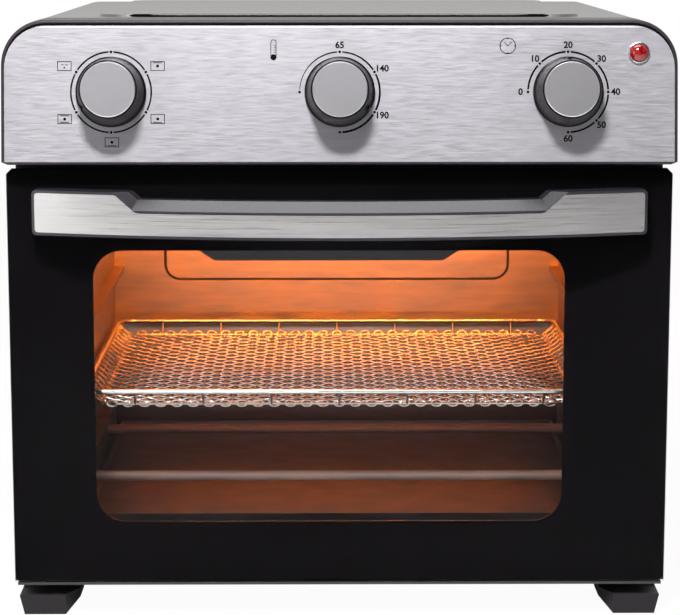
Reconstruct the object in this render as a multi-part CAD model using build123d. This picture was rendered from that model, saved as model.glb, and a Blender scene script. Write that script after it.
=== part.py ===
from build123d import *
import math
import os

# Countertop mini oven with a drop-down glass door, a sloping control panel and an air-fry basket.
# Millimetres. +X is the oven's right seen from the front, -Y its front, +Z up, z = 0 the table.

# Handle: a bar of constant section bowed about a vertical axis, with a notch along its middle
handle_length = 355.0
handle_reach = 38.0
handle_bow = 28.0
handle_thick = 14.0
handle_drop = 37.4
handle_height = 26.0
handle_corner = 2.6
handle_rim = 1.6
handle_screw_inset = 7.5
plate_thick = 1.0
plate_play = 0.1
plate_notch_foot = 116.5
plate_notch_ramp = 18.0
plate_foot_corner = 6.0
plate_crest_corner = 3.0
notch_foot = 119.0
notch_ramp = 12.0
notch_depth = 10.2
notch_chamfer = 5.8

# Door
handle_margin = 16.0
door_width = handle_length + 2 * handle_margin
door_height = 247.2
door_bottom = 20.0
glass_thick = 4.0
border_thick = 0.4
border_margin = 0.5
door_depth = 18.0
door_wall = 1.2
glass_margin = 2.0
glass_chamfer = 4.0
glass_corner = 1.5
glass_hole_play = 0.6
trim_height = 1.6
trim_depth = 12.0
window_margin = 55.5
window_width = door_width - 2 * window_margin
window_sill = 36.2
window_header = 48.6
window_height = door_height - window_sill - window_header
window_corner = 17.0
window_shift = -6.2
surround_gap = 4.0
lip_margin = 60.0
lip_width = window_width - 2 * lip_margin
lip_drop = 7.0
lip_ramp = 11.0
lip_setback = 5.0

# Control panel
panel_overhang = 1.5
panel_width = door_width + 2 * panel_overhang
panel_slope = 78.4
panel_tilt = 8.0
panel_gap = 4.3
panel_forward = 7.0
bezel_foot = 1.7
bezel_crown = 3.4
bezel_wall = 2.5
bezel_edge = 4.0
bezel_reach = 36.0
bezel_nip_width = 3.7
bezel_nip_height = 1.5
fascia_thick = 1.0
fascia_rim = 1.8
fascia_corner = 17.5
fascia_play = 0.15

# Knobs and lamp
knob_inset = 63.5
knob_pitch = panel_width / 2 - knob_inset
knob_rise = 40.2
knob_radius = 20.3
knob_top_radius = 16.6
knob_height = 22.2
knob_wall = 2.2
knob_gap = 0.8
knob_skirt = 1.3
knob_step = 0.9
pip_width = 2.2
pip_depth = 2.4
pip_length = 7.5
cap_radius = 15.65
cap_thick = 1.4
cap_proud = 0.4
cap_play = 0.1
hub_radius = 6.0
shaft_radius = 3.0
shaft_play = 0.05
shaft_hole = 4.2
shaft_depth = 18.0
pointer_angles = {"function": 240.0, "temperature": 120.0, "timer": 0.0}
lamp_inset = 22.8
lamp_drop = 15.7
lamp_radius = 6.2
lamp_step = 1.5
lamp_dome = 4.0
lamp_shoulder = 1.4
lamp_neck = 8.0
lamp_across = panel_width / 2 - lamp_inset
lamp_rise = panel_slope - lamp_drop

# Control units behind the panel
unit_play = 0.05
switch_size = 38.0
switch_depth = 24.0
tab_width = 5.0
tab_height = 6.3
tab_thick = 0.8
tab_pitch = 6.0
thermostat_width = 34.0
thermostat_height = 26.0
thermostat_depth = 16.0
thermostat_can = 11.0
thermostat_can_depth = 8.0
flange_thick = 1.5
flange_spread = 6.0
timer_radius = 26.0
timer_depth = 26.0
timer_flange = 7.0
bell_post = 3.0
bell_radius = 24.0
bell_depth = 6.0
bell_gap = 1.0

# Body
case_inset = 3.5
case_width = door_width - 2 * case_inset
case_depth = 342.0
case_corner = 21.0
sheet = 1.0
door_gap = 1.0
frame_lift = 20.0
frame_play = 0.3
pan_front = 26.5
plateau_side = 46.0
plateau_width = case_width - 2 * plateau_side
plateau_inset = 9.0
plateau_rise = 1.5
plateau_corner = 18.0
press_angle = 35.0
vent_width = 3.0
vent_length = 28.0
vent_pitch = 9.0
vent_count = 9
vent_start = 70.0
vent_drop = 62.0
vent_row_gap = 6.0
return_width = 10.0
spacer_reach = 6.0
spacer_radius = 9.0
spacer_inset = 60.0
spacer_drop = 50.0
rear_field_width = 190.0
rear_field_height = 68.0
rear_field_corner = 10.0
rear_field_proud = 2.5
rear_vent_pitch = 11.0
rear_vent_count = 15
rear_vent_length = 26.0
rear_vent_gap = 4.0
bushing_inset = 45.0
bushing_lift = 45.0
bushing_neck = 7.5
bushing_wall = 3.5
bushing_flange = 3.0
bushing_barb = 1.5
bushing_inside = 8.0
shield_back = 30.0
shield_foot = 12.0
base_slot_length = 32.0
base_slot_width = 4.0
base_slot_pitch_x = 50.0
base_slot_pitch_y = 34.0

# Cavity
cavity_side_space = 32.0
cavity_width = case_width - 2 * cavity_side_space
cavity_lift = 27.0
cavity_drop = 14.2
cavity_front_gap = 0.2
cavity_rear_space = 42.8
cavity_corner = 6.0
cavity_play = 0.1
ledge_reach = 7.0
ledge_rise = 79.7
ledge_pitch = 40.5
ledge_land = 3.0
back_press_side = 35.0
back_press_foot = 30.0
back_press_head = 14.0
back_press_corner = 12.0
back_press_depth = 3.0

# Heaters and fan
rod_radius = 3.25
rod_play = 0.4
upper_rod_drop = 15.0
upper_rod_spread = 88.0
lower_rod_rise = 17.0
lower_rod_spread = 70.0
insulator_radius = 6.5
insulator_length = 7.0
guard_radius = 72.0
guard_depth = 16.0
guard_brim = 6.0
guard_slope = 4.0
guard_slots = 18
guard_slot_width = 5.0
impeller_radius = 50.0
impeller_disc = 0.8
impeller_hub = 8.0
impeller_drop = 2.0
blade_count = 10
blade_height = 7.0
blade_thick = 0.9
blade_twist = 18.0
fan_shaft_radius = 2.5
fan_shaft_end = 1.5
motor_size = 62.0
motor_height = 22.0
motor_lift = 11.5
motor_can = 20.0
coil_width = 14.0
bracket_thick = 1.5
bracket_depth = 36.0
bracket_foot = 12.0
bracket_margin = 16.0

# Hinges
hinge_rise = 9.0
hinge_back = 11.0
pin_radius = 2.5
pin_play = 0.03
ear_thick = 4.0
ear_radius = 5.8
ear_inset = 22.0
ear_offset = door_width / 2 - ear_inset
ear_side_gap = 1.5
cheek_thick = 3.0
cheek_rise = 4.0
hinge_plate_width = 24.0
hinge_plate_thick = 1.5
swing_gap = 0.6

# Basket and crumb tray
basket_flange = 1.2
basket_rest = 0.3
basket_drop = 10.0
basket_wall = 1.2
basket_side_gap = 2.0
basket_taper = 20.0
basket_shoulder = 8.5
basket_corner = 14.0
basket_front = 27.0
basket_back_gap = 10.2
rim_wire = 1.6
mesh_columns = 14
mesh_rows = 17
mesh_gap = 10.5
mesh_margin = 5.0
loop_pitch = 9.8
loop_gap = 4.2
tray_front = 23.0
tray_back_gap = 6.2
tray_depth = 9.0
tray_lift = 0.3
tray_side_gap = 4.0
tray_wall = 1.0

# Feet and fasteners
foot_outset = 0.8
foot_base_tuck = 2.8
foot_top_tuck = 2.3
foot_face_width = 24.5
foot_width = 34.8
foot_length = 44.0
foot_base_length = 30.0
foot_splay = 14.0
foot_bevel = 7.0
foot_setback = 1.5
toe_drop = 8.0
screw_radius = 1.7
screw_head = 3.4
screw_head_height = 1.8
screw_play = 0.15
screw_grip = 6.0
screw_front = 25.0
screw_back = 40.0
screw_rise = 9.0
foot_screw_depth = 36.0

overall_depth = handle_reach + case_depth + spacer_reach
face = handle_reach - overall_depth / 2
rear = face + case_depth
door_top = door_bottom + door_height
base_z = door_bottom - trim_height
tilt = math.radians(panel_tilt)
fascia_z = door_top + panel_gap
bezel_z = fascia_z - bezel_foot
case_top = fascia_z + panel_slope * math.cos(tilt) + bezel_crown
case_half = case_width / 2
frame_y = face + door_depth + door_gap
frame_bottom = door_bottom + frame_lift
wrap_y = face + bezel_reach
cavity_y = frame_y + sheet + cavity_front_gap
cavity_back_y = rear - cavity_rear_space
cavity_mid_y = (cavity_y + cavity_back_y) / 2
cavity_half = cavity_width / 2
cavity_floor_z = door_bottom + cavity_lift
cavity_ceiling_z = door_top - cavity_drop
ledge_top = cavity_floor_z + ledge_rise
basket_length = cavity_back_y - basket_back_gap - face - basket_front
tray_length = cavity_back_y - tray_back_gap - face - tray_front
hinge_y = face + hinge_back
hinge_z = door_bottom + hinge_rise
swing_reach = math.hypot(hinge_back, hinge_rise + trim_height) + swing_gap
window_z = door_bottom + window_sill + window_height / 2
handle_bottom = door_top - handle_drop
handle_top = handle_bottom + handle_height
bow_radius = (handle_length ** 2 / 4 + handle_bow ** 2) / (2 * handle_bow)
bow_y = face - handle_reach + bow_radius
bow_angle = math.degrees(math.asin(handle_length / 2 / bow_radius))
foot_outer = case_half + foot_outset
foot_toe = door_bottom - toe_drop
panel = Plane(
    origin=(0, face - panel_forward, fascia_z),
    x_dir=(1, 0, 0),
    z_dir=(0, -math.cos(tilt), math.sin(tilt)),
)
sides = (-1, 1)
up = (Align.CENTER, Align.CENTER, Align.MIN)
down = (Align.CENTER, Align.CENTER, Align.MAX)


def block(x0, x1, y0, y1, z0, z1):
    middle = Pos((x0 + x1) / 2, (y0 + y1) / 2, (z0 + z1) / 2)
    return middle * Box(abs(x1 - x0), abs(y1 - y0), abs(z1 - z0))


def front_prism(sketch, y0, y1):
    # A shape drawn in X and Z, filling the depth from y0 back to y1
    return extrude(Plane((0, y1, 0), x_dir=(1, 0, 0), z_dir=(0, -1, 0)) * sketch, amount=y1 - y0)


def side_prism(points, x0, x1):
    # A shape drawn in Y and Z, filling the width from x0 to x1
    outline = make_face(Polyline(*points, close=True))
    return extrude(Plane((x0, 0, 0), x_dir=(0, 1, 0), z_dir=(1, 0, 0)) * outline, amount=x1 - x0)


def on_panel(u, v, shape, w=0.0):
    # u across, v up the slope and w out of the control panel
    return panel.location * Pos(u, v, w) * shape


def rod_y(x, y, z, radius, length):
    # A cylinder along Y whose front end is at y
    return Pos(x, y + length / 2, z) * Rot(90, 0, 0) * Cylinder(radius, length)


def rod_x(x, y, z, radius, length):
    return Pos(x, y, z) * Rot(0, 90, 0) * Cylinder(radius, length)


def arch(width, bottom, top, corner):
    # A front view with two round top corners
    half = width / 2
    outline = Polyline((-half, bottom), (half, bottom), (half, top), (-half, top), close=True)
    face_2d = make_face(outline)
    upper = [vertex for vertex in face_2d.vertices() if vertex.Y > top - 1e-6]
    return fillet(upper, corner)


def save(shape, name):
    export_step(shape, f"parts/{name}.step")


# Shell

def make_cabinet_wrap():
    y1 = rear - sheet
    outer = front_prism(arch(case_width, base_z, case_top, case_corner), wrap_y, y1)
    inner_arch = arch(case_width - 2 * sheet, base_z - 5, case_top - sheet, case_corner - sheet)
    inner = front_prism(inner_arch, wrap_y - 1, y1 - sheet)
    flange_corner = case_corner - return_width
    flange_arch = arch(case_width - 2 * return_width, base_z - 5, case_top - return_width, flange_corner)
    inner += front_prism(flange_arch, y1 - 2 * sheet, y1 + 1)
    length = y1 - wrap_y - 2 * plateau_inset
    middle = Pos(0, (wrap_y + y1) / 2, 0)
    pad = middle * RectangleRounded(plateau_width, length, plateau_corner)
    press = plateau_rise + sheet / 2
    raised = extrude(Pos(0, 0, case_top - sheet / 2) * pad, amount=press, taper=press_angle)
    hollow = extrude(Pos(0, 0, case_top - 1.5 * sheet) * pad, amount=press, taper=press_angle)
    wrap = outer - inner + raised - hollow
    slots = []
    for column in range(vent_count):
        y = wrap_y + vent_start + column * vent_pitch
        for z in (case_top - vent_drop, case_top - vent_drop - vent_length - vent_row_gap):
            slots.append(block(-case_half - 1, case_half + 1, y, y + vent_width, z, z + vent_length))
    for side, y, z in cabinet_screw_spots():
        slots.append(rod_x(side * case_half, y, z, screw_radius + screw_play, 6 * sheet))
    for x, z in rear_screw_spots():
        slots.append(rod_y(x, y1 - 4 * sheet, z, screw_radius + screw_play, 6 * sheet))
    return wrap - slots


def cabinet_screw_spots():
    y0 = wrap_y + screw_front
    y1 = rear - screw_back
    return [(side, y, base_z + screw_rise) for side in sides for y in (y0, (y0 + y1) / 2, y1)]


def rear_screw_spots():
    x = case_half - sheet - return_width / 2
    low = base_z + return_width + case_corner
    high = case_top - return_width - case_corner
    return [(side * x, z) for side in sides for z in (low, (low + high) / 2, high)]


def make_screws(spots, direction):
    # direction is "x" for side screws and "y" for rear ones; each head stands outside the sheet
    parts = []
    for spot in spots:
        if direction == "x":
            side, y, z = spot
            head_x = side * (case_half + screw_head_height / 2)
            shank_x = side * (case_half - screw_grip / 2)
            screw = rod_x(head_x, y, z, screw_head, screw_head_height)
            screw += rod_x(shank_x, y, z, screw_radius, screw_grip)
        else:
            x, z = spot
            screw = rod_y(x, rear, z, screw_head, screw_head_height)
            screw += rod_y(x, rear - screw_grip, z, screw_radius, screw_grip)
        parts.append(screw)
    return Compound(children=parts)


def vent_field_z():
    return (cavity_ceiling_z + case_top) / 2


def make_rear_panel():
    half = case_half - 0.5
    plate = front_prism(arch(2 * half, base_z, case_top - 0.5, case_corner), rear - sheet, rear)
    field = Pos(0, vent_field_z()) * RectangleRounded(rear_field_width, rear_field_height, rear_field_corner)
    behind = Plane((0, rear - sheet / 2, 0), x_dir=(-1, 0, 0), z_dir=(0, 1, 0))
    press = rear_field_proud + sheet / 2
    plate += extrude(behind * field, amount=press, taper=press_angle)
    inside = Plane((0, rear - 1.5 * sheet, 0), x_dir=(-1, 0, 0), z_dir=(0, 1, 0))
    plate -= extrude(inside * field, amount=press, taper=press_angle)
    cuts = []
    for column in range(rear_vent_count):
        x = (column - (rear_vent_count - 1) / 2) * rear_vent_pitch
        low = vent_field_z() - rear_vent_gap / 2 - rear_vent_length
        for z in (low, vent_field_z() + rear_vent_gap / 2):
            cuts.append(block(x - vent_width / 2, x + vent_width / 2, rear - 5, rear + 5, z, z + rear_vent_length))
    for x, z in rear_screw_spots():
        cuts.append(rod_y(x, rear - 3, z, screw_radius + screw_play, 6))
    cuts.append(rod_y(bushing_x(), rear - 3, bushing_z(), bushing_neck + screw_play, 6))
    for side in sides:
        cuts.append(rod_y(side * spacer_x(), rear - 3, spacer_z(), spacer_radius / 2, 6))
    return plate - cuts


def bushing_x():
    return case_half - bushing_inset


def bushing_z():
    return base_z + bushing_lift


def make_cord_bushing():
    x = bushing_x()
    z = bushing_z()
    length = bushing_inside + bushing_proud()
    bushing = rod_y(x, rear, z, bushing_neck + bushing_flange, bushing_proud())
    bushing += rod_y(x, rear - bushing_inside, z, bushing_neck, length)
    bushing += rod_y(x, rear - bushing_inside, z, bushing_neck + bushing_barb, bushing_inside - sheet)
    return bushing - rod_y(x, rear - bushing_inside - 1, z, bushing_neck - bushing_wall, length + 2)


def bushing_proud():
    return 2.5 * sheet


def spacer_x():
    return case_half - spacer_inset


def spacer_z():
    return case_top - spacer_drop


def make_rear_spacers():
    spacers = []
    for side in sides:
        peg = rod_y(side * spacer_x(), rear, spacer_z(), spacer_radius, spacer_reach)
        peg = fillet(peg.edges().sort_by(Axis.Y)[-1:], spacer_reach / 3)
        stem = spacer_radius / 2 - screw_play
        peg += rod_y(side * spacer_x(), rear - spacer_reach, spacer_z(), stem, 1.5 * spacer_reach)
        spacers.append(peg)
    return Compound(children=spacers)


def make_base_plate():
    half = case_half - sheet - frame_play
    y0 = face + pan_front
    y1 = rear - 3 * sheet
    top = frame_bottom - frame_play
    pan = block(-half, half, y0, y1, base_z, top)
    pan -= block(-half + sheet, half - sheet, y0 + sheet, y1 - sheet, base_z + sheet, top + 1)
    cuts = []
    for side, y, z in cabinet_screw_spots():
        cuts.append(rod_x(side * half, y, z, screw_radius + screw_play, 4 * sheet))
    for x, y in foot_spots():
        cuts.append(Pos(x, y, base_z) * Cylinder(screw_radius + screw_play, 6))
    slot = Box(base_slot_length, base_slot_width, 4 * sheet)
    for row in range(5):
        for column in range(4):
            x = (row - 2) * base_slot_pitch_x
            y = cavity_mid_y + (column - 1.5) * base_slot_pitch_y
            cuts.append(Pos(x, y, base_z) * slot)
    return pan - cuts


def make_front_frame():
    z0 = frame_bottom
    z1 = bezel_z - frame_play
    frame = block(-case_half, case_half, frame_y, wrap_y - frame_play, z0, z1)
    frame -= block(-case_half + sheet, case_half - sheet, frame_y + sheet, wrap_y, z0 + sheet, z1 - sheet)
    opening = Pos(0, (cavity_floor_z + cavity_ceiling_z) / 2) * RectangleRounded(
        cavity_width, cavity_ceiling_z - cavity_floor_z, cavity_corner)
    return frame - front_prism(opening, frame_y - 1, frame_y + 2 * sheet)


def bezel_profile(shrink, back):
    # Side view of the panel housing, moved inwards by shrink
    front = face - panel_forward + shrink / math.cos(tilt)
    z0 = bezel_z + shrink
    z1 = case_top - shrink
    y0 = front + (z0 - fascia_z) * math.tan(tilt)
    y1 = front + (z1 - fascia_z) * math.tan(tilt)
    return [(y0, z0), (y1, z1), (back, z1), (back, z0)]


def make_control_bezel():
    back = wrap_y - 0.2
    outer = side_prism(bezel_profile(0, back), -panel_width / 2, panel_width / 2)
    crown = outer.edges().filter_by(Axis.X).group_by(Axis.Z)[-1].sort_by(Axis.Y)[0]
    outer = fillet([crown], bezel_edge)
    corner = case_corner + (panel_width - case_width) / 2
    outer &= front_prism(arch(panel_width, bezel_z, case_top, corner), face - handle_reach, back)
    for side in sides:
        nip = [(panel_width / 2 - bezel_nip_width, bezel_z), (panel_width / 2, bezel_z),
               (panel_width / 2, bezel_z + bezel_nip_height)]
        nip_face = make_face(Polyline(*[(side * x, z) for x, z in nip], close=True))
        outer -= front_prism(nip_face, face - handle_reach, back + 1)
    inner = side_prism(bezel_profile(bezel_wall, back + 5), -panel_width / 2, panel_width / 2)
    width = panel_width - 2 * bezel_wall
    inner_arch = arch(width, bezel_z + bezel_wall, case_top - bezel_wall, corner - bezel_wall)
    inner &= front_prism(inner_arch, face - handle_reach, back + 5)
    bezel = outer - inner
    recess = extrude(fascia_outline(0), amount=fascia_thick + bezel_edge)
    bezel -= on_panel(0, 0, recess, -fascia_thick)
    return bezel - panel_holes()


def fascia_outline(play):
    width = panel_width - 2 * fascia_rim - 2 * play
    half = width / 2
    outline = Polyline((-half, play), (half, play), (half, panel_slope - play), (-half, panel_slope - play),
                       close=True)
    shape = make_face(outline)
    upper = [vertex for vertex in shape.vertices() if vertex.Y > panel_slope / 2]
    return fillet(upper, fascia_corner)


def panel_holes():
    holes = [on_panel(u, knob_rise, Cylinder(shaft_hole, 12)) for u in knob_places().values()]
    holes.append(on_panel(lamp_across, lamp_rise, Cylinder(lamp_radius - lamp_step, 12)))
    return holes


def knob_places():
    return {"function": -knob_pitch, "temperature": 0.0, "timer": knob_pitch}


def make_fascia_plate():
    plate = on_panel(0, 0, extrude(fascia_outline(fascia_play), amount=fascia_thick), -fascia_thick)
    return plate - panel_holes()


def make_power_lamp():
    neck = lamp_radius - lamp_step - shaft_play
    rim = lamp_radius - lamp_step * 2 / 3
    rise = lamp_dome - lamp_shoulder
    ball = (rim ** 2 + rise ** 2) / (2 * rise)
    half_way = math.asin(rim / ball) / 2
    middle = (ball * math.sin(half_way), lamp_dome - ball + ball * math.cos(half_way))
    edges = [
        Line((0, -lamp_neck), (neck, -lamp_neck)),
        Line((neck, -lamp_neck), (neck, fascia_play)),
        Line((neck, fascia_play), (rim, fascia_play)),
        Line((rim, fascia_play), (rim, lamp_shoulder)),
        ThreePointArc((rim, lamp_shoulder), middle, (0, lamp_dome)),
        Line((0, lamp_dome), (0, -lamp_neck)),
    ]
    lamp = revolve(Plane.XZ * make_face(edges), Axis.Z)
    return on_panel(lamp_across, lamp_rise, lamp)


def make_lamp_ring():
    height = lamp_shoulder + fascia_play
    ring = Cylinder(lamp_radius, height, align=up)
    ring = fillet(ring.edges().sort_by(Axis.Z)[-1:], lamp_shoulder / 2)
    ring -= Cylinder(lamp_radius - lamp_step * 2 / 3 + shaft_play, 4 * height)
    return on_panel(lamp_across, lamp_rise, ring, fascia_play)


def make_heat_shield():
    y = wrap_y + shield_back
    z0 = cavity_ceiling_z + 2 * sheet
    z1 = case_top - sheet - frame_play
    half = case_half - case_corner
    shield = block(-half, half, y, y + sheet, z0, z1)
    return shield + block(-half, half, y, y + shield_foot, z0, z0 + sheet)


# Controls

def make_knob(name):
    top = knob_height
    r_in = knob_radius - knob_wall
    r_in_top = knob_top_radius - knob_wall
    cup = top - cap_thick
    outline = [
        (hub_radius, knob_gap),
        (hub_radius, cup - knob_wall),
        (r_in_top, cup - knob_wall),
        (r_in, knob_gap),
        (knob_radius, knob_gap),
        (knob_radius, knob_gap + knob_skirt),
        (knob_radius - knob_step, knob_gap + knob_skirt + cap_proud),
        (knob_top_radius, top - 1.5 * cap_proud),
        (knob_top_radius - cap_proud, top),
        (cap_radius + cap_play, top),
        (cap_radius + cap_play, cup),
        (0, cup),
        (0, shaft_reach()),
        (shaft_radius + shaft_play, shaft_reach()),
        (shaft_radius + shaft_play, knob_gap),
    ]
    knob = revolve(Plane.XZ * make_face(Polyline(*outline, close=True)), Axis.Z)
    slope = math.degrees(math.atan2(knob_radius - knob_step - knob_top_radius, top - knob_skirt))
    pip_place = Pos(0, knob_radius - pip_depth * 2 / 3, knob_gap + knob_skirt + pip_length / 2)
    pip = pip_place * Rot(slope, 0, 0) * Box(pip_width, pip_depth, pip_length)
    pip = fillet(pip.edges().group_by(Axis.Y)[-1], pip_depth / 4)
    knob += Rot(0, 0, -pointer_angles[name]) * pip
    return on_panel(knob_places()[name], knob_rise, knob)


def shaft_reach():
    return knob_height - cap_thick - 2 * knob_wall


def make_cap(name):
    cap = Cylinder(cap_radius, cap_thick + cap_proud, align=up)
    cap = chamfer(cap.edges().sort_by(Axis.Z)[-1:], cap_proud)
    return on_panel(knob_places()[name], knob_rise, cap, knob_height - cap_thick)


def make_shaft(name):
    shaft = Cylinder(shaft_radius, shaft_reach() + shaft_depth, align=up)
    return on_panel(knob_places()[name], knob_rise, shaft, -shaft_depth)


def unit_front():
    return -bezel_wall - unit_play


def with_shaft_bore(unit):
    return unit - Pos(0, 0, unit_front()) * Cylinder(shaft_radius + shaft_play, 2 * (shaft_depth + 1))


def make_function_switch():
    body = Pos(0, 0, unit_front()) * Box(switch_size, switch_size, switch_depth, align=down)
    body = fillet(body.edges().filter_by(Axis.Z), switch_size / 10)
    for level in range(3):
        for side in sides:
            depth = switch_depth / 3 + tab_pitch * level
            tab = Pos(side * (switch_size / 2 + tab_width / 2 - 0.5), 0, unit_front() - depth)
            body += tab * Box(tab_width, tab_height, tab_thick)
    return on_panel(-knob_pitch, knob_rise, with_shaft_bore(body))


def make_thermostat():
    body = Pos(0, 0, unit_front()) * Box(thermostat_width, thermostat_height, thermostat_depth, align=down)
    body += Pos(0, 0, unit_front() - thermostat_depth) * Cylinder(
        thermostat_can, thermostat_can_depth, align=down)
    flange = Box(thermostat_width + 2 * flange_spread, thermostat_can, flange_thick, align=down)
    body += Pos(0, 0, unit_front()) * flange
    return on_panel(0, knob_rise, with_shaft_bore(body))


def make_timer_unit():
    body = Pos(0, 0, unit_front()) * Cylinder(timer_radius, timer_depth, align=down)
    flange = Box(2 * (timer_radius + timer_flange), 2 * timer_flange, flange_thick, align=down)
    body += Pos(0, 0, unit_front()) * flange
    post_length = bell_gap + bell_depth
    body += Pos(0, 0, unit_front() - timer_depth) * Cylinder(bell_post, post_length, align=down)
    return on_panel(knob_pitch, knob_rise, with_shaft_bore(body))


def make_timer_bell():
    top = unit_front() - timer_depth - bell_gap
    bore = bell_post + cap_play
    inner = bell_radius - sheet
    cup = [(bore, top - bell_depth + sheet), (inner - 3 * sheet, top - bell_depth + sheet), (inner, top),
           (bell_radius, top), (bell_radius - 3 * sheet, top - bell_depth), (bore, top - bell_depth)]
    bell = revolve(Plane.XZ * make_face(Polyline(*cup, close=True)), Axis.Z)
    return on_panel(knob_pitch, knob_rise, bell)


# Cavity

def make_cavity_side(side):
    # Sheet wall with three pressed ledges, drawn as its front view
    z0 = cavity_floor_z - sheet
    z1 = cavity_ceiling_z + sheet
    path = [(cavity_half, z0)]
    for level in (-1, 0, 1):
        top = ledge_top + level * ledge_pitch
        low = top - ledge_land
        path.append((cavity_half, low - ledge_reach))
        path.append((cavity_half - ledge_reach, low))
        path.append((cavity_half - ledge_reach, top))
        path.append((cavity_half, top))
    path.append((cavity_half, z1))
    ledge_tops = [ledge_top + level * ledge_pitch for level in (-1, 0, 1)]
    outside = [(x + sheet, z - sheet if z in ledge_tops else z) for x, z in path]
    points = [(side * x, z) for x, z in path + outside[::-1]]
    wall = front_prism(make_face(Polyline(*points, close=True)), cavity_y, cavity_back_y)
    return wall - [rod_x(side * cavity_half, y, z, rod_radius + rod_play, 8 * sheet) for y, z in rod_spots()]


def rod_spots():
    return upper_spots() + lower_spots()


def upper_spots():
    return [(cavity_mid_y + side * upper_rod_spread, cavity_ceiling_z - upper_rod_drop) for side in sides]


def lower_spots():
    return [(cavity_mid_y + side * lower_rod_spread, cavity_floor_z + lower_rod_rise) for side in sides]


def make_cavity_back():
    z0 = cavity_floor_z - sheet
    z1 = cavity_ceiling_z + sheet
    half = cavity_half + sheet
    y = cavity_back_y + cavity_play
    plate = block(-half, half, y, y + sheet, z0, z1)
    low = ledge_top + back_press_foot
    high = cavity_ceiling_z - back_press_head
    field = Pos(0, (low + high) / 2) * RectangleRounded(
        cavity_width - 2 * back_press_side, high - low, back_press_corner)
    press = back_press_depth + sheet / 2
    front = Plane((0, y + sheet / 2, 0), x_dir=(1, 0, 0), z_dir=(0, -1, 0))
    behind = Plane((0, y + 1.5 * sheet, 0), x_dir=(1, 0, 0), z_dir=(0, -1, 0))
    plate += extrude(front * field, amount=press, taper=press_angle)
    return plate - extrude(behind * field, amount=press, taper=press_angle)


def make_cavity_top():
    half = cavity_half - cavity_play
    plate = block(-half, half, cavity_y, cavity_back_y, cavity_ceiling_z, cavity_ceiling_z + sheet)
    return plate - Pos(0, cavity_mid_y, cavity_ceiling_z) * Cylinder(2 * fan_shaft_radius, 10 * sheet)


def make_cavity_floor():
    half = cavity_half - cavity_play
    return block(-half, half, cavity_y, cavity_back_y, cavity_floor_z - sheet, cavity_floor_z)


def make_heater(spots):
    length = cavity_width + 2 * insulator_length
    return Compound(children=[rod_x(0, y, z, rod_radius, length) for y, z in spots])


def make_insulators():
    rings = []
    for side in sides:
        for y, z in rod_spots():
            x = side * (cavity_half + sheet + cavity_play + insulator_length / 2)
            ring = rod_x(x, y, z, insulator_radius, insulator_length)
            rings.append(ring - rod_x(x, y, z, rod_radius + shaft_play, insulator_length + 2))
    return Compound(children=rings)


def make_fan_guard():
    z1 = cavity_ceiling_z - cavity_play
    z0 = z1 - guard_depth
    inner = guard_radius - guard_brim
    outline = [
        (0, z0),
        (inner - guard_slope, z0),
        (inner, z1 - sheet),
        (guard_radius, z1 - sheet),
        (guard_radius, z1),
        (inner - sheet, z1),
        (inner - sheet - guard_slope, z0 + sheet),
        (0, z0 + sheet),
    ]
    guard = revolve(Plane.XZ * make_face(Polyline(*outline, close=True)), Axis.Z)
    cuts = []
    for index in range(guard_slots):
        slot = Pos(guard_radius * 0.55, 0, z0) * Box(guard_radius / 2, guard_slot_width, 8 * sheet)
        cuts.append(Rot(0, 0, index * 360 / guard_slots) * slot)
    return Pos(0, cavity_mid_y, 0) * (guard - cuts)


def make_fan_impeller():
    top = cavity_ceiling_z - impeller_drop
    wheel = Pos(0, 0, top) * Cylinder(impeller_radius, impeller_disc, align=down)
    wheel += Pos(0, 0, top) * Cylinder(impeller_hub, blade_height + impeller_disc, align=down)
    blade_length = impeller_radius - impeller_hub - 6
    blade_middle = impeller_radius - blade_length / 2 - 2
    for index in range(blade_count):
        place = Pos(blade_middle, 0, top - impeller_disc * 3 / 4) * Rot(0, 0, blade_twist)
        blade = place * Box(blade_length, blade_thick, blade_height, align=down)
        wheel += Rot(0, 0, index * 360 / blade_count) * blade
    wheel -= Pos(0, 0, top) * Cylinder(fan_shaft_radius + shaft_play, 40)
    return Pos(0, cavity_mid_y, 0) * wheel


def bracket_z():
    return cavity_ceiling_z + sheet + motor_lift


def make_fan_shaft():
    z0 = cavity_ceiling_z - impeller_drop - blade_height - fan_shaft_end
    z1 = bracket_z() + motor_height - 2 * sheet
    return Pos(0, cavity_mid_y, (z0 + z1) / 2) * Cylinder(fan_shaft_radius, z1 - z0)


def make_motor_bracket():
    z = bracket_z()
    low = cavity_ceiling_z + sheet + unit_play
    y0 = cavity_mid_y - bracket_depth / 2
    y1 = cavity_mid_y + bracket_depth / 2
    reach = motor_size / 2 + bracket_margin
    bridge = block(-reach, reach, y0, y1, z - bracket_thick, z)
    for side in sides:
        bridge += block(side * (reach - bracket_thick), side * reach, y0, y1, low, z)
        bridge += block(side * reach, side * (reach + bracket_foot), y0, y1, low, low + bracket_thick)
    return bridge - Pos(0, cavity_mid_y, z) * Cylinder(2 * fan_shaft_radius, 6 * bracket_thick)


def make_fan_motor():
    z = bracket_z() + unit_play
    stack = Pos(0, 0, z) * Box(motor_size, motor_size * 0.8, motor_height * 0.7, align=up)
    stack = fillet(stack.edges().filter_by(Axis.Z), motor_size / 15)
    stack += Pos(0, 0, z) * Cylinder(motor_can, motor_height, align=up)
    coil = Box(coil_width, motor_size * 0.62, motor_height, align=up)
    stack += Pos((motor_size - coil_width) / 2 - 3, 0, z) * coil
    bore = Cylinder(fan_shaft_radius + shaft_play, motor_height + 1 - 1.5 * sheet, align=up)
    return Pos(0, cavity_mid_y, 0) * (stack - Pos(0, 0, z - 1) * bore)


# Feet

def foot_spots():
    x = foot_outer - foot_width / 2
    return [(side * x, y) for y in (face + foot_screw_depth, rear - foot_screw_depth) for side in sides]


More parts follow.
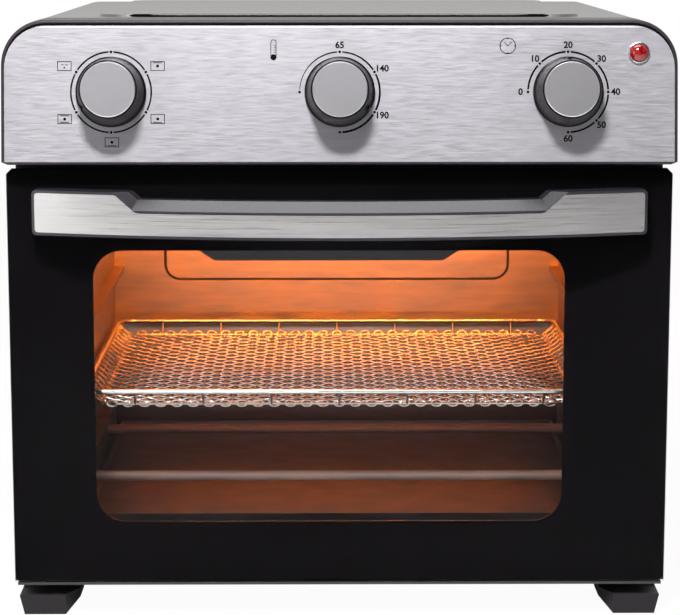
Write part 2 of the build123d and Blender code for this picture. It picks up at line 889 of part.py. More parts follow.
def make_foot(side, front):
    # Toe towards the front, or towards the back for a rear foot; the top clears the swing of the door
    toe_y = face + foot_setback if front else rear - foot_setback
    way = 1 if front else -1
    knee = hinge_back + swing_reach * 0.33 - foot_setback
    crest = hinge_back + swing_reach * 0.84 - foot_setback
    outline = [
        (toe_y, 0),
        (toe_y, foot_toe),
        (toe_y + way * knee, foot_toe + swing_gap),
        (toe_y + way * crest, base_z),
        (toe_y + way * foot_length, base_z),
        (toe_y + way * foot_base_length, 0),
    ]
    base_outer = foot_outer - foot_base_tuck
    base_inner = base_outer - foot_face_width
    inner = foot_outer - foot_width
    front_view = [
        (base_inner, 0),
        (base_outer, 0),
        (foot_outer, foot_toe - swing_gap),
        (foot_outer - foot_top_tuck, base_z),
        (inner, base_z),
        (inner, foot_bevel),
    ]
    foot = side_prism(outline, inner - 1, foot_outer + 1)
    foot &= front_prism(make_face(Polyline(*front_view, close=True)), face - 5, rear + 5)
    splay = [(base_inner, toe_y - way), (base_inner, toe_y), (inner, toe_y + way * foot_splay),
             (inner - 2, toe_y + way * foot_splay), (inner - 2, toe_y - way)]
    foot -= extrude(make_face(Polyline(*splay, close=True)), amount=base_z + 1)
    x, y = foot_spots()[(0 if front else 2) + (1 if side > 0 else 0)]
    foot = foot if side > 0 else mirror(foot, Plane.YZ)
    return foot - Pos(x, y, base_z) * Cylinder(screw_radius + screw_play, 2 * (screw_grip + 2))


def make_foot_screws():
    screws = []
    for x, y in foot_spots():
        z = base_z + sheet
        screw = Pos(x, y, z) * Cylinder(screw_head, screw_head_height, align=up)
        screw += Pos(x, y, z) * Cylinder(screw_radius, screw_grip + sheet, align=down)
        screws.append(screw)
    return Compound(children=screws)


# Door

def door_outline(inset):
    # Front view of the door, moved inwards by inset
    half = door_width / 2 - inset
    low = door_bottom + inset
    high = door_top - inset
    nip = glass_chamfer - 0.6 * inset
    points = [(-half, low), (half, low), (half, high - nip), (half - nip, high), (-half + nip, high),
              (-half, high - nip)]
    shape = make_face(Polyline(*points, close=True))
    lower = [vertex for vertex in shape.vertices() if vertex.Y < low + nip]
    return fillet(lower, glass_corner)


def window_outline(margin):
    return Pos(window_shift, window_z) * RectangleRounded(
        window_width + 2 * margin, window_height + 2 * margin, window_corner + margin)


def glass_holes():
    return [rod_y(x, face - 1, handle_screw_z(), screw_radius + glass_hole_play, glass_thick + 2)
            for x in handle_screw_places()]


def make_door_glass():
    return front_prism(door_outline(0), face, face + glass_thick) - glass_holes()


def handle_screw_places():
    return [side * (handle_length / 2 - handle_screw_inset) for side in sides]


def handle_screw_z():
    return handle_bottom + handle_height / 2


def make_glass_border():
    outline = door_outline(border_margin) - window_outline(0)
    border = front_prism(outline, face + glass_thick, pan_start())
    return border - glass_holes()


def pan_start():
    return face + glass_thick + border_thick


def hinge_slot(y0, z0, z1):
    # The gaps that let the fixed hinge ears into the door
    half = ear_thick / 2 + ear_side_gap - swing_gap / 3
    return [block(side * ear_offset - half, side * ear_offset + half, y0, face + door_depth + 1, z0, z1)
            for side in sides]


def make_door_frame():
    y0 = pan_start()
    y1 = face + door_depth
    frame = front_prism(door_outline(glass_margin), y0, y1)
    core = front_prism(door_outline(glass_margin + door_wall), y0 - 1, y1 - door_wall)
    core -= front_prism(window_outline(surround_gap + door_wall), y0 - 2, y1)
    frame -= core
    frame -= front_prism(window_outline(surround_gap), y0 - 2, y1 + 1)
    top = window_z + window_height / 2 + surround_gap + door_wall / 2
    high = window_z + window_height / 2
    low = high - lip_drop
    half = lip_width / 2
    lip = [(-half, top), (-half, high), (-half + lip_ramp, low), (half - lip_ramp, low), (half, high), (half, top)]
    lip_face = make_face(Polyline(*[(window_shift + x, z) for x, z in lip], close=True))
    frame += front_prism(lip_face, y1 - lip_setback - door_wall, y1 - lip_setback)
    for side in sides:
        for shift in (-1, 1):
            x = side * ear_offset + shift * (ear_thick / 2 + ear_side_gap + cheek_thick / 2)
            frame += block(x - cheek_thick / 2, x + cheek_thick / 2, y0, y1 - door_wall / 2,
                           door_bottom + glass_margin + door_wall / 2, hinge_z + ear_radius + cheek_rise)
        frame -= rod_x(side * ear_offset, hinge_y, hinge_z, pin_radius, pin_length() + 1)
    frame -= hinge_slot(y0, door_bottom - 1, hinge_z + ear_radius + ear_side_gap)
    return frame - [rod_y(x, y0, handle_screw_z(), screw_radius + screw_play, 5) for x in handle_screw_places()]


def pin_length():
    return ear_thick + 2 * ear_side_gap + 2 * cheek_thick


def make_door_trim():
    half = door_width / 2 - glass_margin
    trim = block(-half, half, face + 0.2, face + trim_depth, base_z, door_bottom - 0.02)
    return trim - hinge_slot(pan_start(), base_z - 1, door_bottom + 1)


def make_hinge_pins():
    radius = pin_radius - pin_play
    return Compound(children=[rod_x(side * ear_offset, hinge_y, hinge_z, radius, pin_length()) for side in sides])


def make_hinge_bracket(side):
    plate_y = face + pan_front
    x0 = side * ear_offset - ear_thick / 2
    ear = Plane((x0, 0, 0), x_dir=(0, 1, 0), z_dir=(1, 0, 0))
    shape = Pos(hinge_y, hinge_z) * Circle(ear_radius)
    shape += Pos((hinge_y + plate_y) / 2, hinge_z) * Rectangle(plate_y - hinge_y, 2 * ear_radius)
    bracket = extrude(ear * shape, amount=ear_thick)
    half = hinge_plate_width / 2
    bracket += block(side * ear_offset - half, side * ear_offset + half, plate_y - hinge_plate_thick, plate_y,
                     base_z + 3 * sheet, frame_bottom - 2 * sheet)
    return bracket - rod_x(side * ear_offset, hinge_y, hinge_z, pin_radius + pin_play, ear_thick + 4)


# Handle

def bowed(points):
    # Turns a section of (depth behind the front surface, height) round the vertical bow axis
    section = [(-(bow_radius - depth), z) for depth, z in points]
    shape = Plane((0, bow_y, 0), x_dir=(0, 1, 0), z_dir=(1, 0, 0)) * make_face(Polyline(*section, close=True))
    axis = Axis((0, bow_y, 0), (0, 0, 1))
    half_angle = bow_angle + 2
    return revolve(shape.rotate(axis, -half_angle), axis, 2 * half_angle)


def handle_front(play):
    z = handle_bottom + handle_height / 2
    return Pos(0, z) * RectangleRounded(
        handle_length - 2 * play, handle_height - 2 * play, handle_corner - play / 2)


def notch_ramp_side(side):
    # All that lies above one ramp of the notch and its chamfer, drawn across the ramp
    bow = math.asin(notch_foot / bow_radius)
    rise = math.atan2(notch_depth, notch_ramp)
    foot = Vector(side * notch_foot, bow_y - bow_radius * math.cos(bow), handle_top - notch_depth)
    inwards = Vector(-side * math.sin(bow), math.cos(bow), 0)
    along = Vector(side * math.cos(bow), math.sin(bow), 0)
    ramp = along * math.cos(rise) + Vector(0, 0, math.sin(rise))
    across = along * -math.sin(rise) + Vector(0, 0, math.cos(rise))
    plane = Plane(origin=foot, x_dir=across, z_dir=ramp)
    turn = 1 if plane.y_dir.dot(inwards) > 0 else -1
    ahead = handle_reach
    far = handle_length
    shape = [(-sheet, -ahead), (-sheet, -sheet), (notch_chamfer, notch_chamfer), (notch_chamfer, far), (far, far),
             (far, -ahead)]
    face_2d = make_face(Polyline(*[(x, turn * y) for x, y in shape], close=True))
    return extrude(plane * face_2d, amount=far, both=True)


def make_handle_body():
    z0 = handle_bottom
    z1 = handle_top
    bar = bowed([(0, z0), (0, z1), (handle_thick, z1), (handle_thick, z0)])
    bar &= front_prism(handle_front(0), face - handle_reach - 5, face - shaft_play)
    floor_z = z1 - notch_depth
    notch = bowed([(-sheet, floor_z - sheet), (notch_chamfer, floor_z + notch_chamfer),
                   (handle_thick + 2, floor_z + notch_chamfer), (handle_thick + 2, z1 + handle_height),
                   (-sheet, z1 + handle_height)])
    bar -= notch & notch_ramp_side(1) & notch_ramp_side(-1)
    bar -= plate_solid(handle_rim - plate_play, plate_thick + plate_play)
    for x in handle_screw_places():
        bar -= rod_y(x, face - handle_thick * 0.64, handle_screw_z(), screw_radius + screw_play, handle_thick)
    return bar


def plate_outline(rim):
    # Front view of the steel plate, rim inside the bar's edge; its notch has round corners
    ramp = plate_notch_ramp
    foot = plate_notch_foot + handle_rim - rim
    low = handle_top - notch_depth - rim
    high = low + notch_depth * ramp / notch_ramp
    points = [(-foot, low), (foot, low), (foot + ramp, high), (foot + ramp, high + ramp),
              (-foot - ramp, high + ramp), (-foot - ramp, high)]
    notch = make_face(Polyline(*points, close=True))
    feet = [vertex for vertex in notch.vertices() if vertex.Y < low + 1]
    shape = handle_front(rim) - fillet(feet, plate_foot_corner)
    crests = [vertex for vertex in shape.vertices()
              if vertex.Y > handle_top - rim - 0.1 and abs(vertex.X) < foot + ramp + 1]
    return fillet(crests, plate_crest_corner)


def plate_solid(rim, thick):
    z0 = handle_bottom - 1
    z1 = handle_top + 1
    ahead = 0 if thick == plate_thick else -sheet
    skin = bowed([(ahead, z0), (ahead, z1), (thick, z1), (thick, z0)])
    return skin & front_prism(plate_outline(rim), face - handle_reach - 5, face)


def make_handle_plate():
    return plate_solid(handle_rim, plate_thick)


def make_handle_screws():
    screws = []
    for x in handle_screw_places():
        y = pan_start()
        screw = rod_y(x, y, handle_screw_z(), screw_head, screw_head_height)
        start = face - handle_thick / 2
        screw += rod_y(x, start, handle_screw_z(), screw_radius, y - start + screw_head_height / 2)
        screws.append(screw)
    return Compound(children=screws)


# Basket and tray

def basket_z():
    return ledge_top + basket_rest


def basket_mid_y():
    return face + basket_front + basket_length / 2


def tub_width():
    return cavity_width - 2 * basket_shoulder - 2


def tub_shrink():
    return 2 * basket_drop * math.tan(math.radians(basket_taper))


def make_fry_basket():
    top = basket_z()
    width = tub_width() - tub_shrink()
    length = basket_length - 2 * basket_shoulder + 6 - tub_shrink()
    floor_z = top - basket_drop
    floor = Pos(0, basket_mid_y(), floor_z) * RectangleRounded(width, length, basket_corner - 2)
    tub = extrude(floor, amount=basket_drop, taper=-basket_taper)
    rim = Pos(0, basket_mid_y(), top) * RectangleRounded(
        cavity_width - 2 * basket_side_gap, basket_length, basket_corner)
    tub += extrude(rim, amount=basket_flange)
    inner_floor = Pos(0, basket_mid_y(), floor_z + basket_wall) * RectangleRounded(
        width - 2 * basket_wall, length - 2 * basket_wall, basket_corner - 3)
    tub -= extrude(inner_floor, amount=basket_drop + 4, taper=-basket_taper)
    pitch_x = (width - 2 * mesh_margin) / mesh_columns
    pitch_y = (length - 2 * mesh_margin) / mesh_rows
    gaps = []
    diamond = Rot(0, 0, 45) * Box(mesh_gap, mesh_gap, 5 * basket_wall)
    for column in range(mesh_columns):
        for row in range(mesh_rows):
            x = (column - (mesh_columns - 1) / 2) * pitch_x
            y = basket_mid_y() + (row - (mesh_rows - 1) / 2) * pitch_y
            gaps.append(Pos(x, y, floor_z) * diamond)
    loop = Rot(0, 45, 0) * Box(loop_gap, 5 * basket_shoulder, loop_gap)
    loops = int((width - 2 * basket_corner) / loop_pitch)
    for index in range(loops):
        x = (index - (loops - 1) / 2) * loop_pitch
        gaps.append(Pos(x, face + basket_front, top - basket_drop / 2) * loop)
    return tub - gaps


def make_basket_rim():
    width = cavity_width - 2 * basket_side_gap - 2 * rim_wire - 1
    z = basket_z() + basket_flange + rim_wire
    path = Pos(0, basket_mid_y(), z) * RectangleRounded(
        width, basket_length - 2 * rim_wire - 1, basket_corner - 2).wire()
    start = path.edges()[0]
    profile = Plane(origin=start @ 0, z_dir=start % 0) * Circle(rim_wire)
    return sweep(profile, path)


def make_crumb_tray():
    y0 = face + tray_front
    half = cavity_half - tray_side_gap
    z0 = cavity_floor_z + tray_lift
    tray = block(-half, half, y0, y0 + tray_length, z0, z0 + tray_depth)
    tray -= block(-half + tray_wall, half - tray_wall, y0 + tray_wall, y0 + tray_length - tray_wall,
                  z0 + tray_wall, z0 + tray_depth + 1)
    return tray


def main():
    os.makedirs("parts", exist_ok=True)
    save(make_cabinet_wrap(), "cabinet_wrap")
    save(make_rear_panel(), "rear_panel")
    save(make_rear_spacers(), "rear_spacers")
    save(make_cord_bushing(), "cord_bushing")
    save(make_base_plate(), "base_plate")
    save(make_front_frame(), "front_frame")
    save(make_control_bezel(), "control_bezel")
    save(make_fascia_plate(), "fascia_plate")
    save(make_power_lamp(), "power_lamp")
    save(make_lamp_ring(), "lamp_ring")
    save(make_heat_shield(), "heat_shield")
    save(make_screws(cabinet_screw_spots(), "x"), "cabinet_screws")
    save(make_screws(rear_screw_spots(), "y"), "rear_screws")
    for name in knob_places():
        save(make_knob(name), f"{name}_knob")
        save(make_cap(name), f"{name}_cap")
        save(make_shaft(name), f"{name}_shaft")
    save(make_function_switch(), "function_switch")
    save(make_thermostat(), "thermostat")
    save(make_timer_unit(), "timer_unit")
    save(make_timer_bell(), "timer_bell")
    for side, word in zip(sides, ("left", "right")):
        save(make_cavity_side(side), f"cavity_{word}")
        save(make_hinge_bracket(side), f"hinge_bracket_{word}")
        save(make_foot(side, True), f"foot_front_{word}")
        save(make_foot(side, False), f"foot_rear_{word}")
    save(make_cavity_back(), "cavity_back")
    save(make_cavity_top(), "cavity_top")
    save(make_cavity_floor(), "cavity_floor")
    save(make_heater(upper_spots()), "upper_heaters")
    save(make_heater(lower_spots()), "lower_heaters")
    save(make_insulators(), "heater_insulators")
    save(make_fan_guard(), "fan_guard")
    save(make_fan_impeller(), "fan_impeller")
    save(make_fan_shaft(), "fan_shaft")
    save(make_motor_bracket(), "motor_bracket")
    save(make_fan_motor(), "fan_motor")
    save(make_foot_screws(), "foot_screws")
    save(make_door_glass(), "door_glass")
    save(make_glass_border(), "glass_border")
    save(make_door_frame(), "door_frame")
    save(make_door_trim(), "door_trim")
    save(make_hinge_pins(), "hinge_pins")
    save(make_handle_body(), "handle_body")
    save(make_handle_plate(), "handle_plate")
    save(make_handle_screws(), "handle_screws")
    save(make_fry_basket(), "fry_basket")
    save(make_basket_rim(), "basket_rim")
    save(make_crumb_tray(), "crumb_tray")
    print("front", round(face, 2), "rear", round(rear, 2), "top", round(case_top, 2))


main()
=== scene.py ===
import math
import bpy
import bmesh
from mathutils import Matrix, Vector
from mathutils.bvhtree import BVHTree


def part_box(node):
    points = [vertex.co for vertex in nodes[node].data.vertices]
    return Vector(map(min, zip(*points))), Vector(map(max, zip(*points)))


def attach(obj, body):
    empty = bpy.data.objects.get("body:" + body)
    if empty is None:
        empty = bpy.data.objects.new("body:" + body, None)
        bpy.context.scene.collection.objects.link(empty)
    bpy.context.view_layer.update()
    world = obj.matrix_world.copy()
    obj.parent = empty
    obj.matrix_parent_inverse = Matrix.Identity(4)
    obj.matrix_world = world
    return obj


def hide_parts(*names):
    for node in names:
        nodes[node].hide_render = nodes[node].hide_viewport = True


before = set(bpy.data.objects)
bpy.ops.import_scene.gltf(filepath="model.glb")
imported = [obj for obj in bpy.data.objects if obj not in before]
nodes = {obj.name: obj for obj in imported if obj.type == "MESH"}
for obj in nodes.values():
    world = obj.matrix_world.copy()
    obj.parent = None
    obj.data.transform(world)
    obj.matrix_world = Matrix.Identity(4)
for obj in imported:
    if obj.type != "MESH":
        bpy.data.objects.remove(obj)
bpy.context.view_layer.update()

mm = 0.001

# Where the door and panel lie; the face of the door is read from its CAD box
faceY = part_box("door_glass")[0].y
panelTilt = math.radians(8.0)
panelOut = Vector((0, -math.cos(panelTilt), math.sin(panelTilt)))
panelUp = Vector((0, math.sin(panelTilt), math.cos(panelTilt)))
panelStand = 7.0 * mm
panelLow = 271.5 * mm
panelFoot = Vector((0, faceY - panelStand, panelLow))
knobAt = {"function": -131.5, "temperature": 0.0, "timer": 131.5}
knobRise = 40.2


def onPanel(u, v, w=0.0):
    # A point u across, v up and w out of the control panel, given in millimetres
    return panelFoot + Vector((u * mm, 0, 0)) + panelUp * (v * mm) + panelOut * (w * mm)


def panelPlane(u, v, w):
    # The matrix that lays a flat shape on the panel, w millimetres out of it
    place = Matrix.Identity(4)
    place.col[0] = (1, 0, 0, 0)
    place.col[1] = (*panelUp, 0)
    place.col[2] = (*panelOut, 0)
    place.col[3] = (*onPanel(u, v, w), 1)
    return place


# Materials

grain = {
    "cloudScale": 9.0,
    # Heights over which the painted shade low in the cavity fades out, full below the first and gone above
    # the second
    "shadeLowHeights": (98 * mm, 128 * mm),
    "plasticScale": 900.0,
    "plasticCloud": 14.0,
    "plasticDepth": 0.1 * mm,
}


def freshMaterial(name):
    material = bpy.data.materials.new(name)
    material.use_nodes = True
    tree = material.node_tree
    shader = next(n for n in tree.nodes if n.type == "BSDF_PRINCIPLED")
    return material, tree, shader


def stretchedNoise(tree, scale, stretch, detail=4.0, roughness=0.55):
    coords = tree.nodes.new("ShaderNodeTexCoord")
    mapping = tree.nodes.new("ShaderNodeMapping")
    mapping.inputs["Scale"].default_value = stretch
    noise = tree.nodes.new("ShaderNodeTexNoise")
    noise.inputs["Scale"].default_value = scale
    noise.inputs["Detail"].default_value = detail
    noise.inputs["Roughness"].default_value = roughness
    tree.links.new(coords.outputs["Object"], mapping.inputs["Vector"])
    tree.links.new(mapping.outputs["Vector"], noise.inputs["Vector"])
    return noise.outputs["Fac"]


def ranged(tree, value, low, high, fromLow=0.3, fromHigh=0.7):
    node = tree.nodes.new("ShaderNodeMapRange")
    node.inputs["From Min"].default_value = fromLow
    node.inputs["From Max"].default_value = fromHigh
    node.inputs["To Min"].default_value = low
    node.inputs["To Max"].default_value = high
    tree.links.new(value, node.inputs["Value"])
    return node.outputs["Result"]


def mixedColour(tree, factor, dark, light):
    ramp = tree.nodes.new("ShaderNodeValToRGB")
    ramp.color_ramp.elements[0].position = 0.25
    ramp.color_ramp.elements[0].color = (*dark, 1)
    ramp.color_ramp.elements[1].position = 0.75
    ramp.color_ramp.elements[1].color = (*light, 1)
    tree.links.new(factor, ramp.inputs["Fac"])
    return ramp.outputs["Color"]


def bumped(tree, shader, height, strength, distance):
    bump = tree.nodes.new("ShaderNodeBump")
    bump.inputs["Strength"].default_value = strength
    bump.inputs["Distance"].default_value = distance
    tree.links.new(height, bump.inputs["Height"])
    tree.links.new(bump.outputs["Normal"], shader.inputs["Normal"])


def grainedMetal(name, finish):
    # Metal with brush lines or a rolled grain along one direction, and painted shade low down where the
    # finish asks for it
    material, tree, shader = freshMaterial(name)
    shader.inputs["Metallic"].default_value = finish.get("metallic", 1.0)
    lines = stretchedNoise(tree, finish["scale"], finish["stretch"])
    broad = stretchedNoise(tree, grain["cloudScale"], (1, 1, 1), 2.0)
    roughness = ranged(tree, lines, finish["rough"][0], finish["rough"][1])
    tree.links.new(roughness, shader.inputs["Roughness"])
    fine = mixedColour(tree, lines, finish["dark"], finish["light"])
    cloud = mixedColour(tree, broad, (0.93, 0.93, 0.93), (1, 1, 1))
    both = tree.nodes.new("ShaderNodeMix")
    both.data_type = "RGBA"
    both.blend_type = "MULTIPLY"
    both.inputs["Factor"].default_value = 1.0
    tree.links.new(fine, both.inputs["A"])
    tree.links.new(cloud, both.inputs["B"])
    colour = both.outputs["Result"]
    if "shadeLowColour" in finish:
        # Painted shade: the steel is painted darker and browner low down in the cavity
        coords = tree.nodes.new("ShaderNodeTexCoord")
        split = tree.nodes.new("ShaderNodeSeparateXYZ")
        tree.links.new(coords.outputs["Object"], split.inputs["Vector"])
        share = ranged(tree, split.outputs["Z"], 0.0, 1.0, *grain["shadeLowHeights"])
        lowShade = tree.nodes.new("ShaderNodeMix")
        lowShade.data_type = "RGBA"
        tree.links.new(share, lowShade.inputs["Factor"])
        lowShade.inputs["A"].default_value = (*finish["shadeLowColour"], 1)
        tree.links.new(colour, lowShade.inputs["B"])
        colour = lowShade.outputs["Result"]
    tree.links.new(colour, shader.inputs["Base Color"])
    bumped(tree, shader, lines, finish["bump"], finish.get("depth", 0.2 * mm))
    return material


def mouldedPlastic(name, finish):
    # Plastic, enamel or ink with a fine even grain
    material, tree, shader = freshMaterial(name)
    fine = stretchedNoise(tree, grain["plasticScale"], (1, 1, 1), 3.0)
    cloud = stretchedNoise(tree, grain["plasticCloud"], (1, 1, 1), 2.0)
    tree.links.new(ranged(tree, fine, *finish["rough"]), shader.inputs["Roughness"])
    tree.links.new(mixedColour(tree, cloud, finish["dark"], finish["light"]), shader.inputs["Base Color"])
    bumped(tree, shader, fine, finish.get("bump", 0.12), grain["plasticDepth"])
    shader.inputs["Specular IOR Level"].default_value = finish.get("shine", 0.5)
    return material


def clearGlass(name):
    # A pane that is mostly see-through, with a faint mirror on top
    material, tree, shader = freshMaterial(name)
    shader.inputs["Base Color"].default_value = (0.012, 0.012, 0.014, 1)
    shader.inputs["Alpha"].default_value = 0.05
    smear = stretchedNoise(tree, 6.0, (1, 1, 1), 3.0)
    tree.links.new(ranged(tree, smear, 0.01, 0.04), shader.inputs["Roughness"])
    return material


def redLens(name):
    # A faceted red lamp cover, faintly lit from within
    material, tree, shader = freshMaterial(name)
    facets = tree.nodes.new("ShaderNodeTexVoronoi")
    coords = tree.nodes.new("ShaderNodeTexCoord")
    facets.inputs["Scale"].default_value = 520.0
    tree.links.new(coords.outputs["Object"], facets.inputs["Vector"])
    red = mixedColour(tree, facets.outputs["Distance"], (0.28, 0.004, 0.004), (0.09, 0.001, 0.001))
    tree.links.new(red, shader.inputs["Base Color"])
    shader.inputs["Roughness"].default_value = 0.08
    shader.inputs["Coat Weight"].default_value = 1.0
    shader.inputs["Coat Roughness"].default_value = 0.03
    shader.inputs["Emission Color"].default_value = (0.8, 0.02, 0.01, 1)
    shader.inputs["Emission Strength"].default_value = 0.06
    return material


def hotRod(name, glow):
    # A scaled heater tube that glows as strongly as it is told
    material, tree, shader = freshMaterial(name)
    mottle = stretchedNoise(tree, 60.0, (0.4, 1, 1), 4.0)
    scale = mixedColour(tree, mottle, (0.06, 0.03, 0.02), (0.14, 0.07, 0.05))
    tree.links.new(scale, shader.inputs["Base Color"])
    tree.links.new(ranged(tree, mottle, 0.45, 0.7), shader.inputs["Roughness"])
    shader.inputs["Emission Color"].default_value = (1.0, 0.22, 0.03, 1)
    shader.inputs["Emission Strength"].default_value = glow
    return material


finishes = {
    "fascia": {"scale": 60, "stretch": (1.5, 24, 24), "rough": (0.42, 0.54), "dark": (0.42, 0.405, 0.44),
               "light": (0.50, 0.485, 0.52), "bump": 0.04, "depth": 0.04 * mm},
    "cap": {"scale": 120, "stretch": (2, 8, 8), "rough": (0.30, 0.31), "dark": (0.81, 0.79, 0.83),
            "light": (0.84, 0.82, 0.86), "bump": 0.0},
    # A near-white copy of the brushed metal, as a painted highlight on the top edge of the sheet
    "topHighlight": {"scale": 60, "stretch": (1, 1, 1), "rough": (0.45, 0.52), "dark": (0.92, 0.92, 0.94),
              "light": (0.98, 0.98, 0.99), "bump": 0.0},
    "handleSteel": {"scale": 60, "stretch": (0.3, 1.0, 24), "rough": (0.24, 0.38), "dark": (0.56, 0.54, 0.54),
                    "light": (0.70, 0.68, 0.68), "bump": 0.1, "depth": 0.1 * mm},
    # The cavity steel is tinted warm orange as painted light from the glowing heaters, and painted darker low
    # down as shade
    "cavity": {"scale": 40, "stretch": (1, 1, 6), "rough": (0.34, 0.5), "dark": (0.27, 0.215, 0.165),
               "light": (0.38, 0.30, 0.23), "bump": 0.08, "shadeLowColour": (0.075, 0.060, 0.058)},
    # The crumb tray is painted near-black as shade, far darker than its bare metal
    "shadedCrumbSheet": {"scale": 40, "stretch": (1, 1, 1), "rough": (0.3, 0.45), "dark": (0.075, 0.068, 0.070),
                   "light": (0.11, 0.10, 0.105), "bump": 0.06},
    "sheet": {"scale": 50, "stretch": (1, 1, 1), "rough": (0.35, 0.55), "dark": (0.42, 0.43, 0.44),
              "light": (0.60, 0.61, 0.62), "bump": 0.06},
    "wire": {"scale": 300, "stretch": (1, 1, 1), "rough": (0.14, 0.26), "dark": (0.62, 0.59, 0.54),
             "light": (0.80, 0.77, 0.72), "bump": 0.05},
    "plated": {"scale": 300, "stretch": (1, 1, 1), "rough": (0.18, 0.32), "dark": (0.5, 0.5, 0.5),
               "light": (0.68, 0.68, 0.69), "bump": 0.05},
    "trim": {"scale": 80, "stretch": (0.3, 12, 12), "rough": (0.3, 0.42), "dark": (0.05, 0.05, 0.053),
             "light": (0.08, 0.08, 0.084), "bump": 0.05},
    "cover": {"scale": 700, "stretch": (1, 1, 1), "rough": (0.32, 0.42), "dark": (0.100, 0.091, 0.088),
              "light": (0.125, 0.114, 0.110), "metallic": 0.35, "bump": 0.06, "depth": 0.1 * mm},
    "darkSheet": {"scale": 500, "stretch": (1, 1, 1), "rough": (0.3, 0.42), "dark": (0.016, 0.015, 0.016),
                  "light": (0.03, 0.028, 0.03), "metallic": 0.1, "bump": 0.05},
    "bezel": {"dark": (0.022, 0.017, 0.022), "light": (0.032, 0.025, 0.031), "rough": (0.34, 0.44),
              "shine": 0.3},
    "knob": {"dark": (0.004, 0.003, 0.004), "light": (0.007, 0.005, 0.007), "rough": (0.28, 0.32),
             "shine": 0.14, "bump": 0.005},
    "handle": {"dark": (0.016, 0.015, 0.018), "light": (0.026, 0.024, 0.029), "rough": (0.2, 0.28)},
    "foot": {"dark": (0.007, 0.006, 0.007), "light": (0.011, 0.009, 0.011), "rough": (0.45, 0.6),
             "shine": 0.3},
    "enamel": {"dark": (0.0025, 0.002, 0.0025), "light": (0.004, 0.0035, 0.004), "rough": (0.12, 0.18),
               "bump": 0.01, "shine": 0.0},
    "moulding": {"dark": (0.62, 0.58, 0.46), "light": (0.7, 0.66, 0.55), "rough": (0.4, 0.5)},
    "ceramic": {"dark": (0.75, 0.73, 0.68), "light": (0.85, 0.83, 0.79), "rough": (0.25, 0.35)},
    "print": {"dark": (0.002, 0.0015, 0.002), "light": (0.004, 0.003, 0.004), "rough": (0.5, 0.6),
              "bump": 0.02, "shine": 0.05},
}

print("materials")
metal = {name: grainedMetal(name, finishes[name]) for name in
         ("fascia", "cap", "topHighlight", "handleSteel", "cavity", "shadedCrumbSheet", "sheet", "wire", "plated", "trim",
          "cover", "darkSheet")}
plastic = {name: mouldedPlastic(name, finishes[name]) for name in
           ("bezel", "knob", "handle", "foot", "enamel", "moulding", "ceramic", "print")}

dressing = {
    "cover": ["cabinet_wrap"],
    "sheet": ["rear_panel", "base_plate", "heat_shield", "hinge_bracket_left", "hinge_bracket_right",
              "motor_bracket", "fan_motor", "fan_impeller"],
    "shadedCrumbSheet": ["crumb_tray"],
    "darkSheet": ["front_frame", "door_frame"],
    "handle": ["rear_spacers", "cord_bushing", "handle_body"],
    "knob": ["function_knob", "temperature_knob", "timer_knob"],
    "bezel": ["control_bezel"],
    "fascia": ["fascia_plate"],
    "cap": ["function_cap", "temperature_cap", "timer_cap"],
    "handleSteel": ["handle_plate"],
    "plated": ["cabinet_screws", "rear_screws", "foot_screws", "handle_screws", "function_shaft",
               "temperature_shaft", "timer_shaft", "fan_shaft", "hinge_pins", "timer_bell", "lamp_ring"],
    "trim": ["door_trim"],
    "moulding": ["function_switch", "thermostat", "timer_unit"],
    "cavity": ["cavity_left", "cavity_right", "cavity_back", "cavity_top", "cavity_floor", "fan_guard"],
    "ceramic": ["heater_insulators"],
    "foot": ["foot_front_left", "foot_front_right", "foot_rear_left", "foot_rear_right"],
    "enamel": ["glass_border"],
    "wire": ["basket_rim"],
}


def dress(nodeName, material):
    data = nodes[nodeName].data
    data.materials.clear()
    data.materials.append(material)


for finishName, names in dressing.items():
    material = metal.get(finishName) or plastic[finishName]
    for nodeName in names:
        dress(nodeName, material)
dress("door_glass", clearGlass("doorGlass"))
dress("power_lamp", redLens("redLens"))
dress("upper_heaters", hotRod("upperRodGlow", glow=9.0))
dress("lower_heaters", hotRod("lowerRod", glow=0.0))


# Meshes

def placed(name, data, body):
    # A mesh as an object that rides a body
    piece = bpy.data.objects.new(name, data)
    bpy.context.scene.collection.objects.link(piece)
    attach(piece, body)
    return piece


def newPiece(name, vertices, faces, material, body):
    data = bpy.data.meshes.new(name)
    data.from_pydata([tuple(v) for v in vertices], [], faces)
    data.validate()
    data.materials.append(material)
    return placed(name, data, body)


def facedOutwards(piece):
    tidy = bmesh.new()
    tidy.from_mesh(piece.data)
    bmesh.ops.recalc_face_normals(tidy, faces=tidy.faces)
    tidy.to_mesh(piece.data)
    tidy.free()
    return piece


def meshOf(holder):
    # The finished mesh of a text, a curve or a modified object, which is then removed
    bpy.context.scene.collection.objects.link(holder)
    bpy.context.view_layer.update()
    evaluated = holder.evaluated_get(bpy.context.evaluated_depsgraph_get())
    data = bpy.data.meshes.new_from_object(evaluated)
    bpy.data.objects.remove(holder)
    return data


def flatOnPanel(curve, u, v, w, material):
    # A flat curve made into a mesh and laid on the panel
    data = meshOf(bpy.data.objects.new("flatHolder", curve))
    data.transform(panelPlane(u, v, w))
    data.materials.clear()
    data.materials.append(material)
    return data


def bandFaces(rings, count):
    # Faces that join closed rings of vertices one after another, and the last to the first
    faces = []
    for ring in range(rings):
        a, b = ring * count, (ring + 1) % rings * count
        for i in range(count):
            j = (i + 1) % count
            faces.append((a + i, a + j, b + j, b + i))
    return faces


